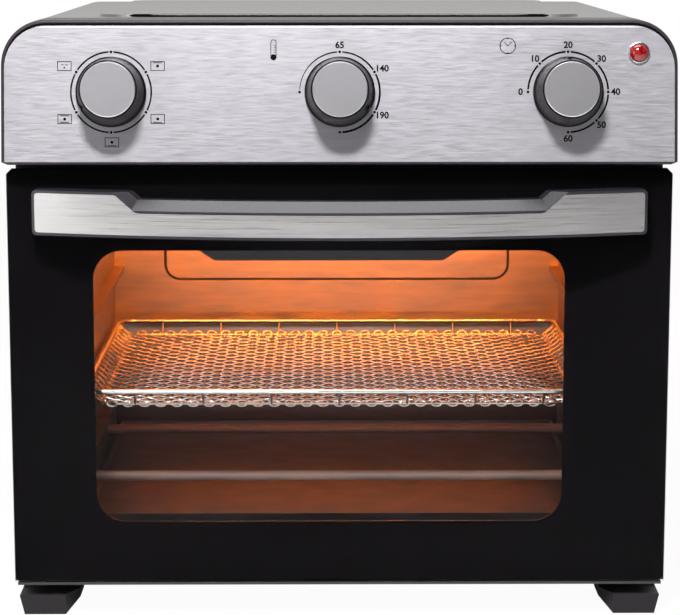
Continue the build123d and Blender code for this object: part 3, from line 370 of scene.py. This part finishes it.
class Ink:
    # Gathers flat printed marks on the panel into one mesh
    lift = 0.08
    thick = 0.05

    def __init__(self):
        self.vertices = []
        self.faces = []

    def polygon(self, points):
        # A closed thin plate over the outline, which runs anticlockwise seen from in front
        start = len(self.vertices)
        count = len(points)
        for w in (self.lift, self.lift - self.thick):
            self.vertices += [onPanel(u, v, w) for u, v in points]
        self.faces.append([start + i for i in range(count)])
        self.faces.append([start + count + i for i in reversed(range(count))])
        for i in range(count):
            j = (i + 1) % count
            self.faces.append([start + i, start + count + i, start + count + j, start + j])

    def dot(self, u, v, radius, sides=20):
        self.polygon([(u + radius * math.cos(2 * math.pi * i / sides),
                       v + radius * math.sin(2 * math.pi * i / sides)) for i in range(sides)])

    def bar(self, u, v, width, height):
        w, h = width / 2, height / 2
        self.polygon([(u - w, v - h), (u + w, v - h), (u + w, v + h), (u - w, v + h)])

    def line(self, a, b, width):
        a, b = Vector(a), Vector(b)
        side = (b - a).orthogonal().normalized() * (width / 2)
        self.polygon([tuple(a - side), tuple(a + side), tuple(b + side), tuple(b - side)])

    def arc(self, u, v, radius, start, end, width, endWidth=None, steps=24):
        # From start to end in degrees clockwise from the top, changing in width on the way
        endWidth = endWidth or width
        for i in range(steps):
            a0 = math.radians(start + (end - start) * i / steps)
            a1 = math.radians(start + (end - start) * (i + 1) / steps)
            w0 = (width + (endWidth - width) * i / steps) / 2
            w1 = (width + (endWidth - width) * (i + 1) / steps) / 2
            self.polygon([(u + (radius - w0) * math.sin(a0), v + (radius - w0) * math.cos(a0)),
                          (u + (radius - w1) * math.sin(a1), v + (radius - w1) * math.cos(a1)),
                          (u + (radius + w1) * math.sin(a1), v + (radius + w1) * math.cos(a1)),
                          (u + (radius + w0) * math.sin(a0), v + (radius + w0) * math.cos(a0))])

    def box(self, u, v, width, height, line):
        w, h = width / 2, height / 2
        self.bar(u, v + h, width + line, line)
        self.bar(u, v - h, width + line, line)
        self.bar(u - w, v, line, height - line)
        self.bar(u + w, v, line, height - line)

    def piece(self, name):
        made = newPiece(name, self.vertices, self.faces, plastic["print"], "oven")
        return facedOutwards(made)


# Printed marks, in millimetres on the panel
marks = {
    "ringRadius": 23.1,
    "dotRadius": 0.8,
    "arcGap": 3.6,
    "lineWidth": 0.95,
    "timerLine": 1.0925,
    "thinLine": 0.35,
    "boxLine": 0.4,
    "numberSize": 5.2,
    "numberReach": 27.2,
    "numberRise": 26.9,
    "numberBold": 0.15,
    "numberLift": 0.07,
    "numberThick": 0.03,
}
icon = {
    "width": 7.8,
    "height": 5.2,
    "bar": 5.2,
    "barRise": 1.9,
    "dot": 0.85,
    "blade": 1.5,
    "bladeOut": 1.1,
    "bladeRise": 0.7,
    "hub": 0.45,
    "hubDrop": 0.9,
}
thermometer = {
    "u": -38.1,
    "top": 70.0,
    "low": 60.8,
    "radius": 1.5,
    "bulb": 1.75,
    "steps": 4,
    "stepFrom": 2.2,
    "stepPitch": 1.3,
}
clock = {
    "u": 96.7,
    "v": 66.7,
    "radius": 4.5,
    "line": 0.45,
    "tickFrom": 3.7,
    "tick": 0.6,
    "hands": ((-1.9, 2.0), (2.3, 2.3)),
}


def dialArcs(ink, name, stops, widths):
    u = knobAt[name]
    for angle in stops:
        a = math.radians(angle)
        ink.dot(u + marks["ringRadius"] * math.sin(a), knobRise + marks["ringRadius"] * math.cos(a),
                marks["dotRadius"])
    for i in range(len(stops) - 1):
        gap = marks["arcGap"]
        ink.arc(u, knobRise, marks["ringRadius"], stops[i] + gap, stops[i + 1] - gap,
                widths[i], widths[i + 1])


def functionIcons(ink):
    # Small generic pictures of a cavity with heat above, below or both
    places = {
        "fan": (-158.3, 55.2),
        "top": (-104.7, 55.2),
        "both": (-158.2, 24.8),
        "base": (-104.7, 24.8),
        "low": (-131.1, 11.4),
    }
    line = marks["boxLine"]
    for kind, (u, v) in places.items():
        ink.box(u, v, icon["width"], icon["height"], line)
        if kind in ("top", "both"):
            ink.bar(u, v + icon["barRise"], icon["bar"], line)
        if kind in ("base", "both", "low"):
            ink.bar(u, v - icon["barRise"], icon["bar"], line)
        if kind == "fan":
            for side in (-1, 1):
                ink.bar(u + side * icon["bladeOut"], v + icon["bladeRise"], icon["blade"], line)
            ink.dot(u, v - icon["hubDrop"], icon["hub"])
        else:
            ink.dot(u, v, icon["dot"])


def thermometerMark(ink):
    u, low, radius = thermometer["u"], thermometer["low"], thermometer["radius"]
    line = marks["thinLine"]
    shoulder = thermometer["top"] - radius
    for side in (-radius, radius):
        ink.line((u + side, low), (u + side, shoulder + 0.3), line)
    ink.arc(u, shoulder + 0.2, radius, -90, 90, line)
    ink.dot(u, low - 0.6, thermometer["bulb"])
    for i in range(thermometer["steps"]):
        ink.bar(u + 0.7, low + thermometer["stepFrom"] + i * thermometer["stepPitch"], 1.2, 0.25)


def clockMark(ink):
    u, v, radius = clock["u"], clock["v"], clock["radius"]
    ink.arc(u, v, radius, 0, 360, clock["line"], steps=40)
    for angle in (0, 90, 180, 270):
        x, y = math.sin(math.radians(angle)), math.cos(math.radians(angle))
        inner = clock["tickFrom"]
        ink.line((u + inner * x, v + inner * y), (u + radius * x, v + radius * y), clock["tick"])
    for right, up in clock["hands"]:
        ink.line((u, v), (u + right, v + up), marks["thinLine"])


def numberPiece(text, u, v, size):
    curve = bpy.data.curves.new("number" + text, "FONT")
    curve.body = text
    curve.align_x = "CENTER"
    curve.align_y = "CENTER"
    curve.size = size * mm
    curve.extrude = marks["numberThick"] * mm
    curve.resolution_u = 4
    curve.offset = marks["numberBold"] * mm
    return flatOnPanel(curve, u, v, marks["numberLift"], plastic["print"])


def dialNumbers():
    joined = bmesh.new()
    sets = {
        "temperature": {0: "65", 60: "140", 120: "190"},
        "timer": {-90: "0", -45: "10", 0: "20", 45: "30", 90: "40", 135: "50", 180: "60"},
    }
    for name, values in sets.items():
        for angle, text in values.items():
            a = math.radians(angle)
            # Three figures stand a little further out, and so do those straight beside the dial
            reach = marks["numberReach"] + (0.9 if len(text) == 3 else 0) + (0.2 if abs(angle) == 90 else 0)
            u = knobAt[name] + reach * math.sin(a)
            v = knobRise + marks["numberRise"] * math.cos(a)
            joined.from_mesh(numberPiece(text, u, v, marks["numberSize"]))
    data = bpy.data.meshes.new("dialNumbers")
    joined.to_mesh(data)
    joined.free()
    data.materials.append(plastic["print"])
    placed("dialNumbers", data, "oven")


print("panel marks")
ink = Ink()
line = marks["lineWidth"]
dialArcs(ink, "function", [0, 60, 120, 180, 240, 300, 360], [line] * 7)
dialArcs(ink, "temperature", [-90, 0, 60, 120, 180], [0.35, 0.8, 1.05, 1.2, 1.3])
dialArcs(ink, "timer", [-90, -45, 0, 45, 90, 135, 180], [marks["timerLine"]] * 7)
functionIcons(ink)
thermometerMark(ink)
clockMark(ink)
ink.piece("panelMarks")
dialNumbers()


# Panel housing and its brushed sheet, with an even dark rim round the corners

housing = {
    "corner": 26.0 * mm,
    "rim": 1.9 * mm,
    "wall": 2.5 * mm,
    "inside": 14.0 * mm,
    "backGap": 1.5 * mm,
    "nipWidth": 3.7 * mm,
    "nipHeight": 1.5 * mm,
    "cornerSteps": 14,
    # The rounded front edge, as pairs of inset and depth
    "frontEdge": [(1.75 * mm, 0.0), (1.1 * mm, 0.05 * mm), (0.55 * mm, 0.35 * mm), (0.2 * mm, 0.9 * mm),
                  (0.0, 1.9 * mm)],
    "innerEdge": 0.15 * mm,
    "ridges": 3,
    "ridgeFrom": 14.0 * mm,
    "ridgePitch": 4.5 * mm,
    "ridgeDepth": 0.5 * mm,
    "ridgeSlope": 0.4 * mm,
    "ridgeWidth": 1.9 * mm,
}
brushedSheet = {
    "thickness": 0.96 * mm,
    "bevel": 0.15 * mm,
    "corner": housing["corner"] - housing["rim"],
    "fit": 0.9992,
    "shaftHole": 4.3 * mm,
    "lampAt": (172.2 * mm, 62.7 * mm),
    "lampHole": 4.8 * mm,
    "holeSteps": 32,
}
# Size and place of the painted highlight strip on the top edge of the sheet
topHighlight = {
    "low": 1.05 * mm,
    "high": 0.3 * mm,
    "bevel": 0.1 * mm,
    "lift": 0.16 * mm,
    "seat": 0.02 * mm,
    "middle": 0.8 * mm,
    "taper": 7 * mm,
    "cornerShare": 0.75,
}
# Place and width of the painted shadow strip in front of the raised field on the cover
creaseShade = {
    "y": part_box("control_bezel")[1].y + 10.0 * mm,
    "half": 124 * mm,
    "width": 4.2 * mm,
    "lift": 0.2 * mm,
    "thinFrom": 0.8,
    "thinning": 0.9,
    "steps": 160,
    "rows": 5,
}


def roundedTop(half, high, radius):
    # The two upper corners of the panel, from right to left
    points = []
    for side in (1, -1):
        for step in range(housing["cornerSteps"] + 1):
            turn = step / housing["cornerSteps"] * math.pi / 2
            angle = turn if side > 0 else math.pi / 2 + turn
            points.append((side * (half - radius) + radius * math.cos(angle),
                           high - radius + radius * math.sin(angle)))
    return points


def archOutline(inset, box):
    # Front view of the housing moved inwards, anticlockwise from the lower right
    half, low, high = box
    half, low, high = half - inset, low + inset, high - inset
    radius = max(housing["corner"] - inset, 1 * mm)
    nipX = max(housing["nipWidth"] - inset, 0.2 * mm)
    nipZ = max(housing["nipHeight"] - inset * 0.5, 0.1 * mm)
    points = [(half - nipX, low), (half, low + nipZ)]
    points += roundedTop(half, high, radius)
    points += [(-half, low + nipZ), (-half + nipX, low)]
    return points


def frontDepth(z):
    # Where the tilted front of the panel lies at height z
    return panelFoot.y + (z - panelFoot.z) * math.tan(panelTilt)


def makeHousing():
    low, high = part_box("control_bezel")
    box = (high.x, low.z, high.z)
    wall, rim = housing["wall"], housing["rim"]
    rings = [(housing["inside"], wall), (rim, wall), (rim, housing["innerEdge"])] + housing["frontEdge"]
    for index in range(housing["ridges"]):
        start = housing["ridgeFrom"] + index * housing["ridgePitch"]
        end = start + housing["ridgeWidth"]
        rings += [(0.0, start), (housing["ridgeDepth"], start + housing["ridgeSlope"]),
                  (housing["ridgeDepth"], end - housing["ridgeSlope"]), (0.0, end)]
    vertices = []
    for inset, depth in rings:
        vertices += [(x, frontDepth(z) + depth, z) for x, z in archOutline(inset, box)]
    for inset in (0.0, wall):
        vertices += [(x, high.y, z) for x, z in archOutline(inset, box)]
    for inset in (wall, housing["inside"]):
        back = wall + housing["backGap"]
        vertices += [(x, frontDepth(z) + back, z) for x, z in archOutline(inset, box)]
    count = len(archOutline(0.0, box))
    faces = bandFaces(len(vertices) // count, count)
    piece = newPiece("panelHousing", vertices, faces, plastic["bezel"], "oven")
    facedOutwards(piece)
    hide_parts("control_bezel")


def circle(u, v, radius, steps):
    return [(u + radius * math.cos(i / steps * 2 * math.pi), v + radius * math.sin(i / steps * 2 * math.pi))
            for i in range(steps)]


def sheetSize():
    # Half the width of the brushed sheet, and its height along the tilt
    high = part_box("fascia_plate")[1]
    return high.x, (high.z - panelFoot.z) / math.cos(panelTilt)


def makeFascia():
    # A flat outline with its holes, filled and given a rounded edge
    half, slope = sheetSize()
    bevel = brushedSheet["bevel"]
    curve = bpy.data.curves.new("fasciaOutline", "CURVE")
    curve.dimensions = "2D"
    curve.fill_mode = "BOTH"
    curve.extrude = brushedSheet["thickness"] / 2 - bevel
    curve.bevel_depth = bevel
    curve.bevel_resolution = 1
    edge = [(half, bevel)] + roundedTop(half, slope, brushedSheet["corner"]) + [(-half, bevel)]
    shapes = [[(x * brushedSheet["fit"], v) for x, v in edge]]
    for u in knobAt.values():
        shapes.append(circle(u * mm, knobRise * mm, brushedSheet["shaftHole"], brushedSheet["holeSteps"]))
    shapes.append(circle(*brushedSheet["lampAt"], brushedSheet["lampHole"], brushedSheet["holeSteps"]))
    for shape in shapes:
        spline = curve.splines.new("POLY")
        spline.points.add(len(shape) - 1)
        for point, (x, v) in zip(spline.points, shape):
            point.co = (x, v, 0, 1)
        spline.use_cyclic_u = True
    sunk = -brushedSheet["thickness"] / 2 / mm
    data = flatOnPanel(curve, 0, 0, sunk, metal["fascia"])
    piece = placed("brushedFascia", data, "oven")
    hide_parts("fascia_plate")


def makeTopHighlight():
    # A painted highlight: a near-white metal strip along the top edge of the sheet, where the edge catches
    # light
    halfSheet, slope = sheetSize()
    half = halfSheet - brushedSheet["corner"] * topHighlight["cornerShare"]
    low, high, middle = slope - topHighlight["low"], slope - topHighlight["high"], slope - topHighlight["middle"]
    rows = [(low, topHighlight["seat"]), (low + topHighlight["bevel"], topHighlight["lift"]),
            (high - topHighlight["bevel"], topHighlight["lift"]), (high, topHighlight["seat"])]
    vertices, faces = [], []
    for v, w in rows:
        ends = half - topHighlight["taper"]
        for x, across, out in ((-half, middle, topHighlight["seat"]), (-ends, v, w), (ends, v, w),
                               (half, middle, topHighlight["seat"])):
            vertices.append(onPanel(x / mm, across / mm, out / mm))
    for row in range(3):
        for i in range(3):
            a = row * 4 + i
            faces.append((a, a + 1, a + 5, a + 4))
    newPiece("sheetHighlight", vertices, faces, metal["topHighlight"], "oven")


def makeCoverCreaseShadow():
    # A painted shadow: a near-black strip laid on the cover from above, along the line where the raised field
    # of the cover starts
    cover = BVHTree.FromObject(nodes["cabinet_wrap"], bpy.context.evaluated_depsgraph_get())
    steps, rows = creaseShade["steps"], creaseShade["rows"]
    vertices, faces = [], []
    for step in range(steps + 1):
        share = 2 * step / steps - 1
        thinning = max(abs(share) - creaseShade["thinFrom"], 0) / (1 - creaseShade["thinFrom"])
        width = creaseShade["width"] * (1 - thinning ** 2 * creaseShade["thinning"])
        for row in range(rows):
            x, y = share * creaseShade["half"], creaseShade["y"] + (row / (rows - 1) - 0.5) * width
            hit = cover.ray_cast(Vector((x, y, 0.5)), Vector((0, 0, -1)))[0]
            vertices.append((x, y, hit.z + creaseShade["lift"]))
    for i in range(steps):
        for row in range(rows - 1):
            a = rows * i + row
            faces.append((a, a + rows, a + rows + 1, a + 1))
    # The strip takes the near-black material, as painted shadow of the field's front edge
    newPiece("coverCreaseShadow", vertices, faces, plastic["enamel"], "oven")


print("housing")
makeHousing()
makeFascia()
makeTopHighlight()
makeCoverCreaseShadow()


# Door: the edge band of the glass, and a thin bright metal line round the window as a painted highlight on
# the window's edge

edgeBand = {
    "nip": 4.0 * mm,
    "inset": 0.7 * mm,
    "thick": 0.95 * mm,
    "depths": (4.02 * mm, 4.3 * mm),
}
windowHighlight = {
    "x": -6.2 * mm,
    "z": 137.4 * mm,
    "halfX": 138.0 * mm,
    "halfZ": 81.2 * mm,
    "corner": 17.0 * mm,
    "thick": 0.3 * mm,
    "depths": (4.42 * mm, 4.9 * mm),
}


def bandRound(name, outline, band, material):
    # A thin closed band that stands along an outline in X and Z
    count = len(outline)
    middle = Vector((sum(x for x, z in outline) / count, sum(z for x, z in outline) / count))
    front, back = (faceY + depth for depth in band["depths"])
    vertices = []
    for out, y in ((0, front), (band["thick"], front), (band["thick"], back), (0, back)):
        for x, z in outline:
            away = (Vector((x, z)) - middle).normalized() * out
            vertices.append((x + away.x, y, z + away.y))
    facedOutwards(newPiece(name, vertices, bandFaces(4, count), material, "door"))


def roundedBox(box, steps=8):
    points = []
    radius = box["corner"]
    for quarter, (sx, sz) in enumerate(((1, 1), (-1, 1), (-1, -1), (1, -1))):
        for step in range(steps + 1):
            angle = (quarter + step / steps) * math.pi / 2
            points.append((box["x"] + sx * (box["halfX"] - radius) + radius * math.cos(angle),
                           box["z"] + sz * (box["halfZ"] - radius) + radius * math.sin(angle)))
    return points


def makeDoorLines():
    low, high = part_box("door_glass")
    nip, inset = edgeBand["nip"], edgeBand["inset"]
    right = [(high.x - inset, low.z + inset), (high.x - inset, high.z - nip), (high.x - nip, high.z - inset)]
    outline = right + [(-x, z) for x, z in reversed(right)]
    bandRound("glassEdge", outline, edgeBand, plastic["enamel"])
    # A bright metal band as painted highlight round the window's edge
    bandRound("windowHighlightLine", roundedBox(windowHighlight), windowHighlight, metal["wire"])


print("door lines")
makeDoorLines()


# Basket: woven wires bent up at the two sides, with rows of loops and struts at front and back

basket = {
    "pitch": 6.5 * mm,
    "wire": 0.55 * mm,
    "wave": 0.55 * mm,
    "floorHalfX": 143.5 * mm,
    "floorHalfY": 120.0 * mm,
    "run": 9.5 * mm,
    "loopPitch": 9.8 * mm,
    "loopWidth": 6.3 * mm,
    "loopHeight": 4.5 * mm,
    "loopWire": 0.6 * mm,
    "loopRise": 0.9 * mm,
    "loopLean": 20,
    "overlap": 2 * mm,
    "footOutX": 1 * mm,
    "footOutY": 2.4 * mm,
    "footRise": 0.6 * mm,
    "footWire": 0.8 * mm,
    "footCorner": 10 * mm,
    "struts": 7,
    "floorRise": 3.6 * mm,
    "rimRise": 1.2 * mm,
}


class NodeMaths:
    # Short forms for building a Geometry Nodes tree
    def __init__(self, name):
        self.tree = bpy.data.node_groups.new(name, "GeometryNodeTree")
        self.tree.interface.new_socket("Geometry", in_out="OUTPUT", socket_type="NodeSocketGeometry")

    def node(self, kind, values=None, **settings):
        made = self.tree.nodes.new(kind)
        for key, value in settings.items():
            setattr(made, key, value)
        for key, value in (values or {}).items():
            self.feed(made.inputs[key], value)
        return made

    def feed(self, socket, value):
        if isinstance(value, bpy.types.NodeSocket):
            self.tree.links.new(value, socket)
        else:
            socket.default_value = value

    def maths(self, operation, a, b=0.0):
        return self.node("ShaderNodeMath", {0: a, 1: b}, operation=operation).outputs[0]

    def vector(self, x, y, z):
        return self.node("ShaderNodeCombineXYZ", {0: x, 1: y, 2: z}).outputs[0]

    def finish(self, geometries, material):
        joined = self.tree.nodes.new("GeometryNodeJoinGeometry")
        for geometry in geometries:
            self.tree.links.new(geometry, joined.inputs[0])
        real = self.node("GeometryNodeRealizeInstances", {0: joined.outputs[0]})
        painted = self.node("GeometryNodeSetMaterial", {0: real.outputs[0], "Material": material})
        output = self.tree.nodes.new("NodeGroupOutput")
        self.tree.links.new(painted.outputs[0], output.inputs[0])
        return self.tree


def wovenWires(kit, alongX, centre, floorZ, rimZ):
    # One family of parallel wires, waved over and under the other and bent up at the two sides
    halfX = basket["floorHalfX"] + basket["run"]
    halfY = basket["floorHalfY"] + basket["overlap"]
    length, spread = (halfX, halfY) if alongX else (halfY, halfX)
    count = int(2 * spread / basket["pitch"])
    along, across = ((1, 0, 0), (0, 1, 0)) if alongX else ((0, 1, 0), (1, 0, 0))
    offset = Vector(across) * basket["pitch"]
    wires = kit.node("GeometryNodeMeshLine", {
        "Count": count,
        "Start Location": offset * (-(count - 1) / 2),
        "Offset": offset,
    }, mode="OFFSET")
    single = kit.node("GeometryNodeCurvePrimitiveLine", {
        "Start": Vector(along) * -length,
        "End": Vector(along) * length,
    })
    fine = kit.node("GeometryNodeResampleCurve", {
        "Curve": single.outputs[0], "Count": int(2 * length / basket["pitch"] * 4)})
    spread = kit.node("GeometryNodeInstanceOnPoints", {
        "Points": wires.outputs[0], "Instance": fine.outputs[0]})
    real = kit.node("GeometryNodeRealizeInstances", {0: spread.outputs[0]})
    place = kit.node("GeometryNodeInputPosition").outputs[0]
    split = kit.node("ShaderNodeSeparateXYZ", {0: place})
    x, y = split.outputs[0], split.outputs[1]
    phase = kit.maths("MULTIPLY", kit.maths("ADD", x, y), math.pi / basket["pitch"])
    wave = kit.maths("MULTIPLY", kit.maths("COSINE", phase), basket["wave"] * (1 if alongX else -1))
    outX = kit.maths("SUBTRACT", kit.maths("ABSOLUTE", x), basket["floorHalfX"])
    share = kit.maths("DIVIDE", outX, basket["run"])
    share = kit.node("ShaderNodeClamp", {0: share}).outputs[0]
    lift = kit.maths("MULTIPLY", share, rimZ - floorZ)
    height = kit.maths("ADD", kit.maths("ADD", lift, wave), floorZ)
    moved = kit.node("GeometryNodeSetPosition", {
        0: real.outputs[0], "Position": kit.vector(x, kit.maths("ADD", y, centre), height)})
    ring = kit.node("GeometryNodeCurvePrimitiveCircle", {"Resolution": 4, "Radius": basket["wire"]})
    return kit.node("GeometryNodeCurveToMesh", {0: moved.outputs[0], 1: ring.outputs[0]}).outputs[0]


def rowOf(kit, count, pitch, start, instance):
    # Copies of one shape in a row along X, centred on the start
    first = (start[0] - (count - 1) / 2 * pitch, start[1], start[2])
    line = kit.node("GeometryNodeMeshLine", {
        "Count": count, "Start Location": first, "Offset": (pitch, 0, 0)}, mode="OFFSET")
    spread = kit.node("GeometryNodeInstanceOnPoints", {"Points": line.outputs[0], "Instance": instance})
    return spread.outputs[0]


def tube(kit, path, radius):
    profile = kit.node("GeometryNodeCurvePrimitiveCircle", {"Resolution": 8, "Radius": radius})
    return kit.node("GeometryNodeCurveToMesh", {0: path, 1: profile.outputs[0]}).outputs[0]


def rimLoops(kit, edgeY, z, lean):
    # Wire loops in a row along one edge of the basket
    width, pitch = basket["loopWidth"], basket["loopPitch"]
    ring = kit.node("GeometryNodeCurvePrimitiveCircle", {"Resolution": 18, "Radius": width / 2})
    squashed = kit.node("GeometryNodeTransform", {
        0: ring.outputs[0], "Scale": (1, basket["loopHeight"] / width, 1), "Rotation": (lean, 0, 0)})
    loop = tube(kit, squashed.outputs[0], basket["loopWire"])
    return rowOf(kit, int(2 * basket["floorHalfX"] / pitch), pitch, (0, edgeY, z), loop)


def footWire(kit, centre, z):
    # A closed wire round the foot of the basket
    loop = kit.node("GeometryNodeCurvePrimitiveQuadrilateral", {
        "Width": 2 * (basket["floorHalfX"] + basket["footOutX"]),
        "Height": 2 * (basket["floorHalfY"] + basket["footOutY"])})
    rounded = kit.node("GeometryNodeFilletCurve", {
        "Curve": loop.outputs[0], "Radius": basket["footCorner"], "Count": 6}, mode="POLY")
    moved = kit.node("GeometryNodeTransform", {0: rounded.outputs[0], "Translation": (0, centre, z)})
    return tube(kit, moved.outputs[0], basket["footWire"])


def struts(kit, start, end):
    # Short wires from the foot wire up to the rim along one edge
    single = kit.node("GeometryNodeCurvePrimitiveLine", {"Start": start, "End": end})
    count = basket["struts"]
    wire = tube(kit, single.outputs[0], basket["footWire"])
    return rowOf(kit, count, 2 * basket["floorHalfX"] / count, (0, 0, 0), wire)


def grown(name, tree, body):
    # The mesh that a Geometry Nodes tree makes, as a plain piece
    seed = bpy.data.objects.new(name + "Seed", bpy.data.meshes.new(name + "Seed"))
    seed.modifiers.new("grow", "NODES").node_group = tree
    data = meshOf(seed)
    data.name = name
    return placed(name, data, body)


def makeBasket():
    low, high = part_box("fry_basket")
    centre = (low.y + high.y) / 2
    floorZ = low.z + basket["floorRise"]
    footZ = floorZ + basket["footRise"]
    rimZ = high.z + basket["rimRise"]
    kit = NodeMaths("basketWeave")
    families = [wovenWires(kit, alongX, centre, floorZ, rimZ) for alongX in (True, False)]
    families.append(footWire(kit, centre, footZ))
    for side in (-1, 1):
        edge = centre + side * (basket["floorHalfY"] + basket["footOutY"])
        lean = math.radians(90 - side * basket["loopLean"])
        families.append(rimLoops(kit, edge, floorZ + basket["loopRise"], lean))
        rimEdge = centre + side * (basket["floorHalfY"] + basket["run"])
        families.append(struts(kit, (0, edge, footZ), (0, rimEdge, rimZ)))
    piece = grown("wovenBasket", kit.finish(families, metal["wire"]), "basket")
    for polygon in piece.data.polygons:
        polygon.use_smooth = True
    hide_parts("fry_basket")


print("basket")
makeBasket()


# Stage, camera and light

camera = {
    "place": (-9.6 * mm, faceY - 1357.0 * mm, 404.6 * mm),
    "pitch": 9.17,
    "yaw": 0.412,
    "lens": 124.5,
}
studio = {
    "leftLevel": 0.36,
    "rightLevel": 0.08,
    "acrossFrom": 0.22,
    "lowShare": 0.45,
    "floorWhite": 0.96,
    "floorHalf": 6.0,
    "floorZ": -0.3 * mm,
}
# Each lamp has its place, the point that it faces, its two sizes in metres and its watts
lamps = {
    "keySoftbox": {"place": (-0.12, -0.95, 1.25), "target": (0, -0.15, 0.3), "size": (0.22, 0.12),
                   "power": 28},
    "roofSoftbox": {"place": (0, -0.30, 1.5), "target": (0, -0.10, 0.3), "size": (1.1, 0.35), "power": 7},
    "leftSoftbox": {"place": (-1.5, -1.5, 0.55), "target": (0, -0.15, 0.24), "size": (0.5, 1.0),
                    "power": 4.5},
    "cavityGlow": {"place": (0, -0.10, 0.236), "target": (0, 0.14, 0.21), "size": (0.28, 0.02), "power": 0.95,
                   "colour": (1.0, 0.235, 0.016), "spread": 1.6},
    "roofGlow": {"place": (0, 0.02, 0.232), "target": (0, 0.02, 0.1), "size": (0.28, 0.2), "power": 0.04,
                 "colour": (1.0, 0.24, 0.03)},
    "lowFill": {"place": (0, -0.120, 0.075), "target": (0, 0.14, 0.07), "size": (0.26, 0.02), "power": 0.15,
                "colour": (0.8, 0.92, 1.0)},
}


def makeCamera():
    data = bpy.data.cameras.new("photoView")
    data.lens = camera["lens"]
    data.sensor_width = 36.0
    data.clip_start = 0.05
    made = bpy.data.objects.new("photoView", data)
    bpy.context.scene.collection.objects.link(made)
    pitch, yaw = math.radians(camera["pitch"]), math.radians(camera["yaw"])
    direction = Vector((math.sin(yaw) * math.cos(pitch), math.cos(yaw) * math.cos(pitch), -math.sin(pitch)))
    made.location = camera["place"]
    made.rotation_euler = direction.to_track_quat("-Z", "Y").to_euler()
    bpy.context.scene.camera = made


def areaLamp(name, values):
    data = bpy.data.lights.new(name, "AREA")
    data.shape = "RECTANGLE"
    data.size, data.size_y = values["size"]
    data.energy = values["power"]
    data.color = values.get("colour", (1, 1, 1))
    if "spread" in values:
        data.spread = values["spread"]
    lamp = bpy.data.objects.new(name, data)
    bpy.context.scene.collection.objects.link(lamp)
    lamp.location = values["place"]
    facing = Vector(values["target"]) - Vector(values["place"])
    lamp.rotation_euler = facing.to_track_quat("-Z", "Y").to_euler()


def mathNode(tree, operation, first, second):
    node = tree.nodes.new("ShaderNodeMath")
    node.operation = operation
    tree.links.new(first, node.inputs[0])
    if isinstance(second, float):
        node.inputs[1].default_value = second
    else:
        tree.links.new(second, node.inputs[1])
    return node.outputs["Value"]


def blended(tree, factor, first, second, out):
    # Two shaders mixed by a factor and led to the output
    blend = tree.nodes.new("ShaderNodeMixShader")
    tree.links.new(factor, blend.inputs["Fac"])
    tree.links.new(first, blend.inputs[1])
    tree.links.new(second, blend.inputs[2])
    tree.links.new(blend.outputs["Shader"], out.inputs["Surface"])


def makeFloor():
    # White to the camera, with a faint shadow left in it
    material, tree, shader = freshMaterial("paleFloor")
    cloud = stretchedNoise(tree, 2.0, (1, 1, 1), 2.0)
    pale = mixedColour(tree, cloud, (0.9, 0.9, 0.9), (0.92, 0.92, 0.92))
    tree.links.new(pale, shader.inputs["Base Color"])
    shader.inputs["Roughness"].default_value = 0.6
    white = tree.nodes.new("ShaderNodeEmission")
    path = tree.nodes.new("ShaderNodeLightPath")
    part = mathNode(tree, "MULTIPLY", path.outputs["Is Camera Ray"], studio["floorWhite"])
    out = next(n for n in tree.nodes if n.type == "OUTPUT_MATERIAL")
    blended(tree, part, shader.outputs["BSDF"], white.outputs["Emission"], out)
    data = bpy.data.meshes.new("floor")
    half, z = studio["floorHalf"], studio["floorZ"]
    corners = [(-half, -half, z), (half, -half, z), (half, half, z), (-half, half, z)]
    data.from_pydata(corners, [], [(0, 1, 2, 3)])
    data.materials.append(material)
    floor = bpy.data.objects.new("floor", data)
    bpy.context.scene.collection.objects.link(floor)


def makeWorld():
    # A white backdrop behind the oven, and a room in front that is brighter on the left
    world = bpy.data.worlds.new("studio")
    world.use_nodes = True
    tree = world.node_tree
    room = next(n for n in tree.nodes if n.type == "BACKGROUND")
    out = next(n for n in tree.nodes if n.type == "OUTPUT_WORLD")
    coords = tree.nodes.new("ShaderNodeTexCoord")
    split = tree.nodes.new("ShaderNodeSeparateXYZ")
    tree.links.new(coords.outputs["Generated"], split.inputs["Vector"])
    edge = studio["acrossFrom"]
    across = ranged(tree, split.outputs["X"], studio["leftLevel"], studio["rightLevel"], -edge, edge)
    height = ranged(tree, split.outputs["Z"], studio["lowShare"], 1.0, -0.2, 0.5)
    room.inputs["Color"].default_value = (1, 1, 1, 1)
    tree.links.new(mathNode(tree, "MULTIPLY", across, height), room.inputs["Strength"])
    white = tree.nodes.new("ShaderNodeBackground")
    white.inputs["Color"].default_value = (1, 1, 1, 1)
    white.inputs["Strength"].default_value = 1.0
    path = tree.nodes.new("ShaderNodeLightPath").outputs
    seen = mathNode(tree, "MAXIMUM", path["Is Glossy Ray"], path["Is Transmission Ray"])
    behind = ranged(tree, split.outputs["Y"], 0.0, 1.0, -0.1, 0.2)
    backdrop = mathNode(tree, "MULTIPLY", seen, behind)
    factor = mathNode(tree, "MAXIMUM", path["Is Camera Ray"], backdrop)
    blended(tree, factor, room.outputs["Background"], white.outputs["Background"], out)
    bpy.context.scene.world = world


print("stage")
makeFloor()
makeWorld()
makeCamera()
for lampName, values in lamps.items():
    areaLamp(lampName, values)
bpy.context.scene.view_settings.view_transform = "Standard"
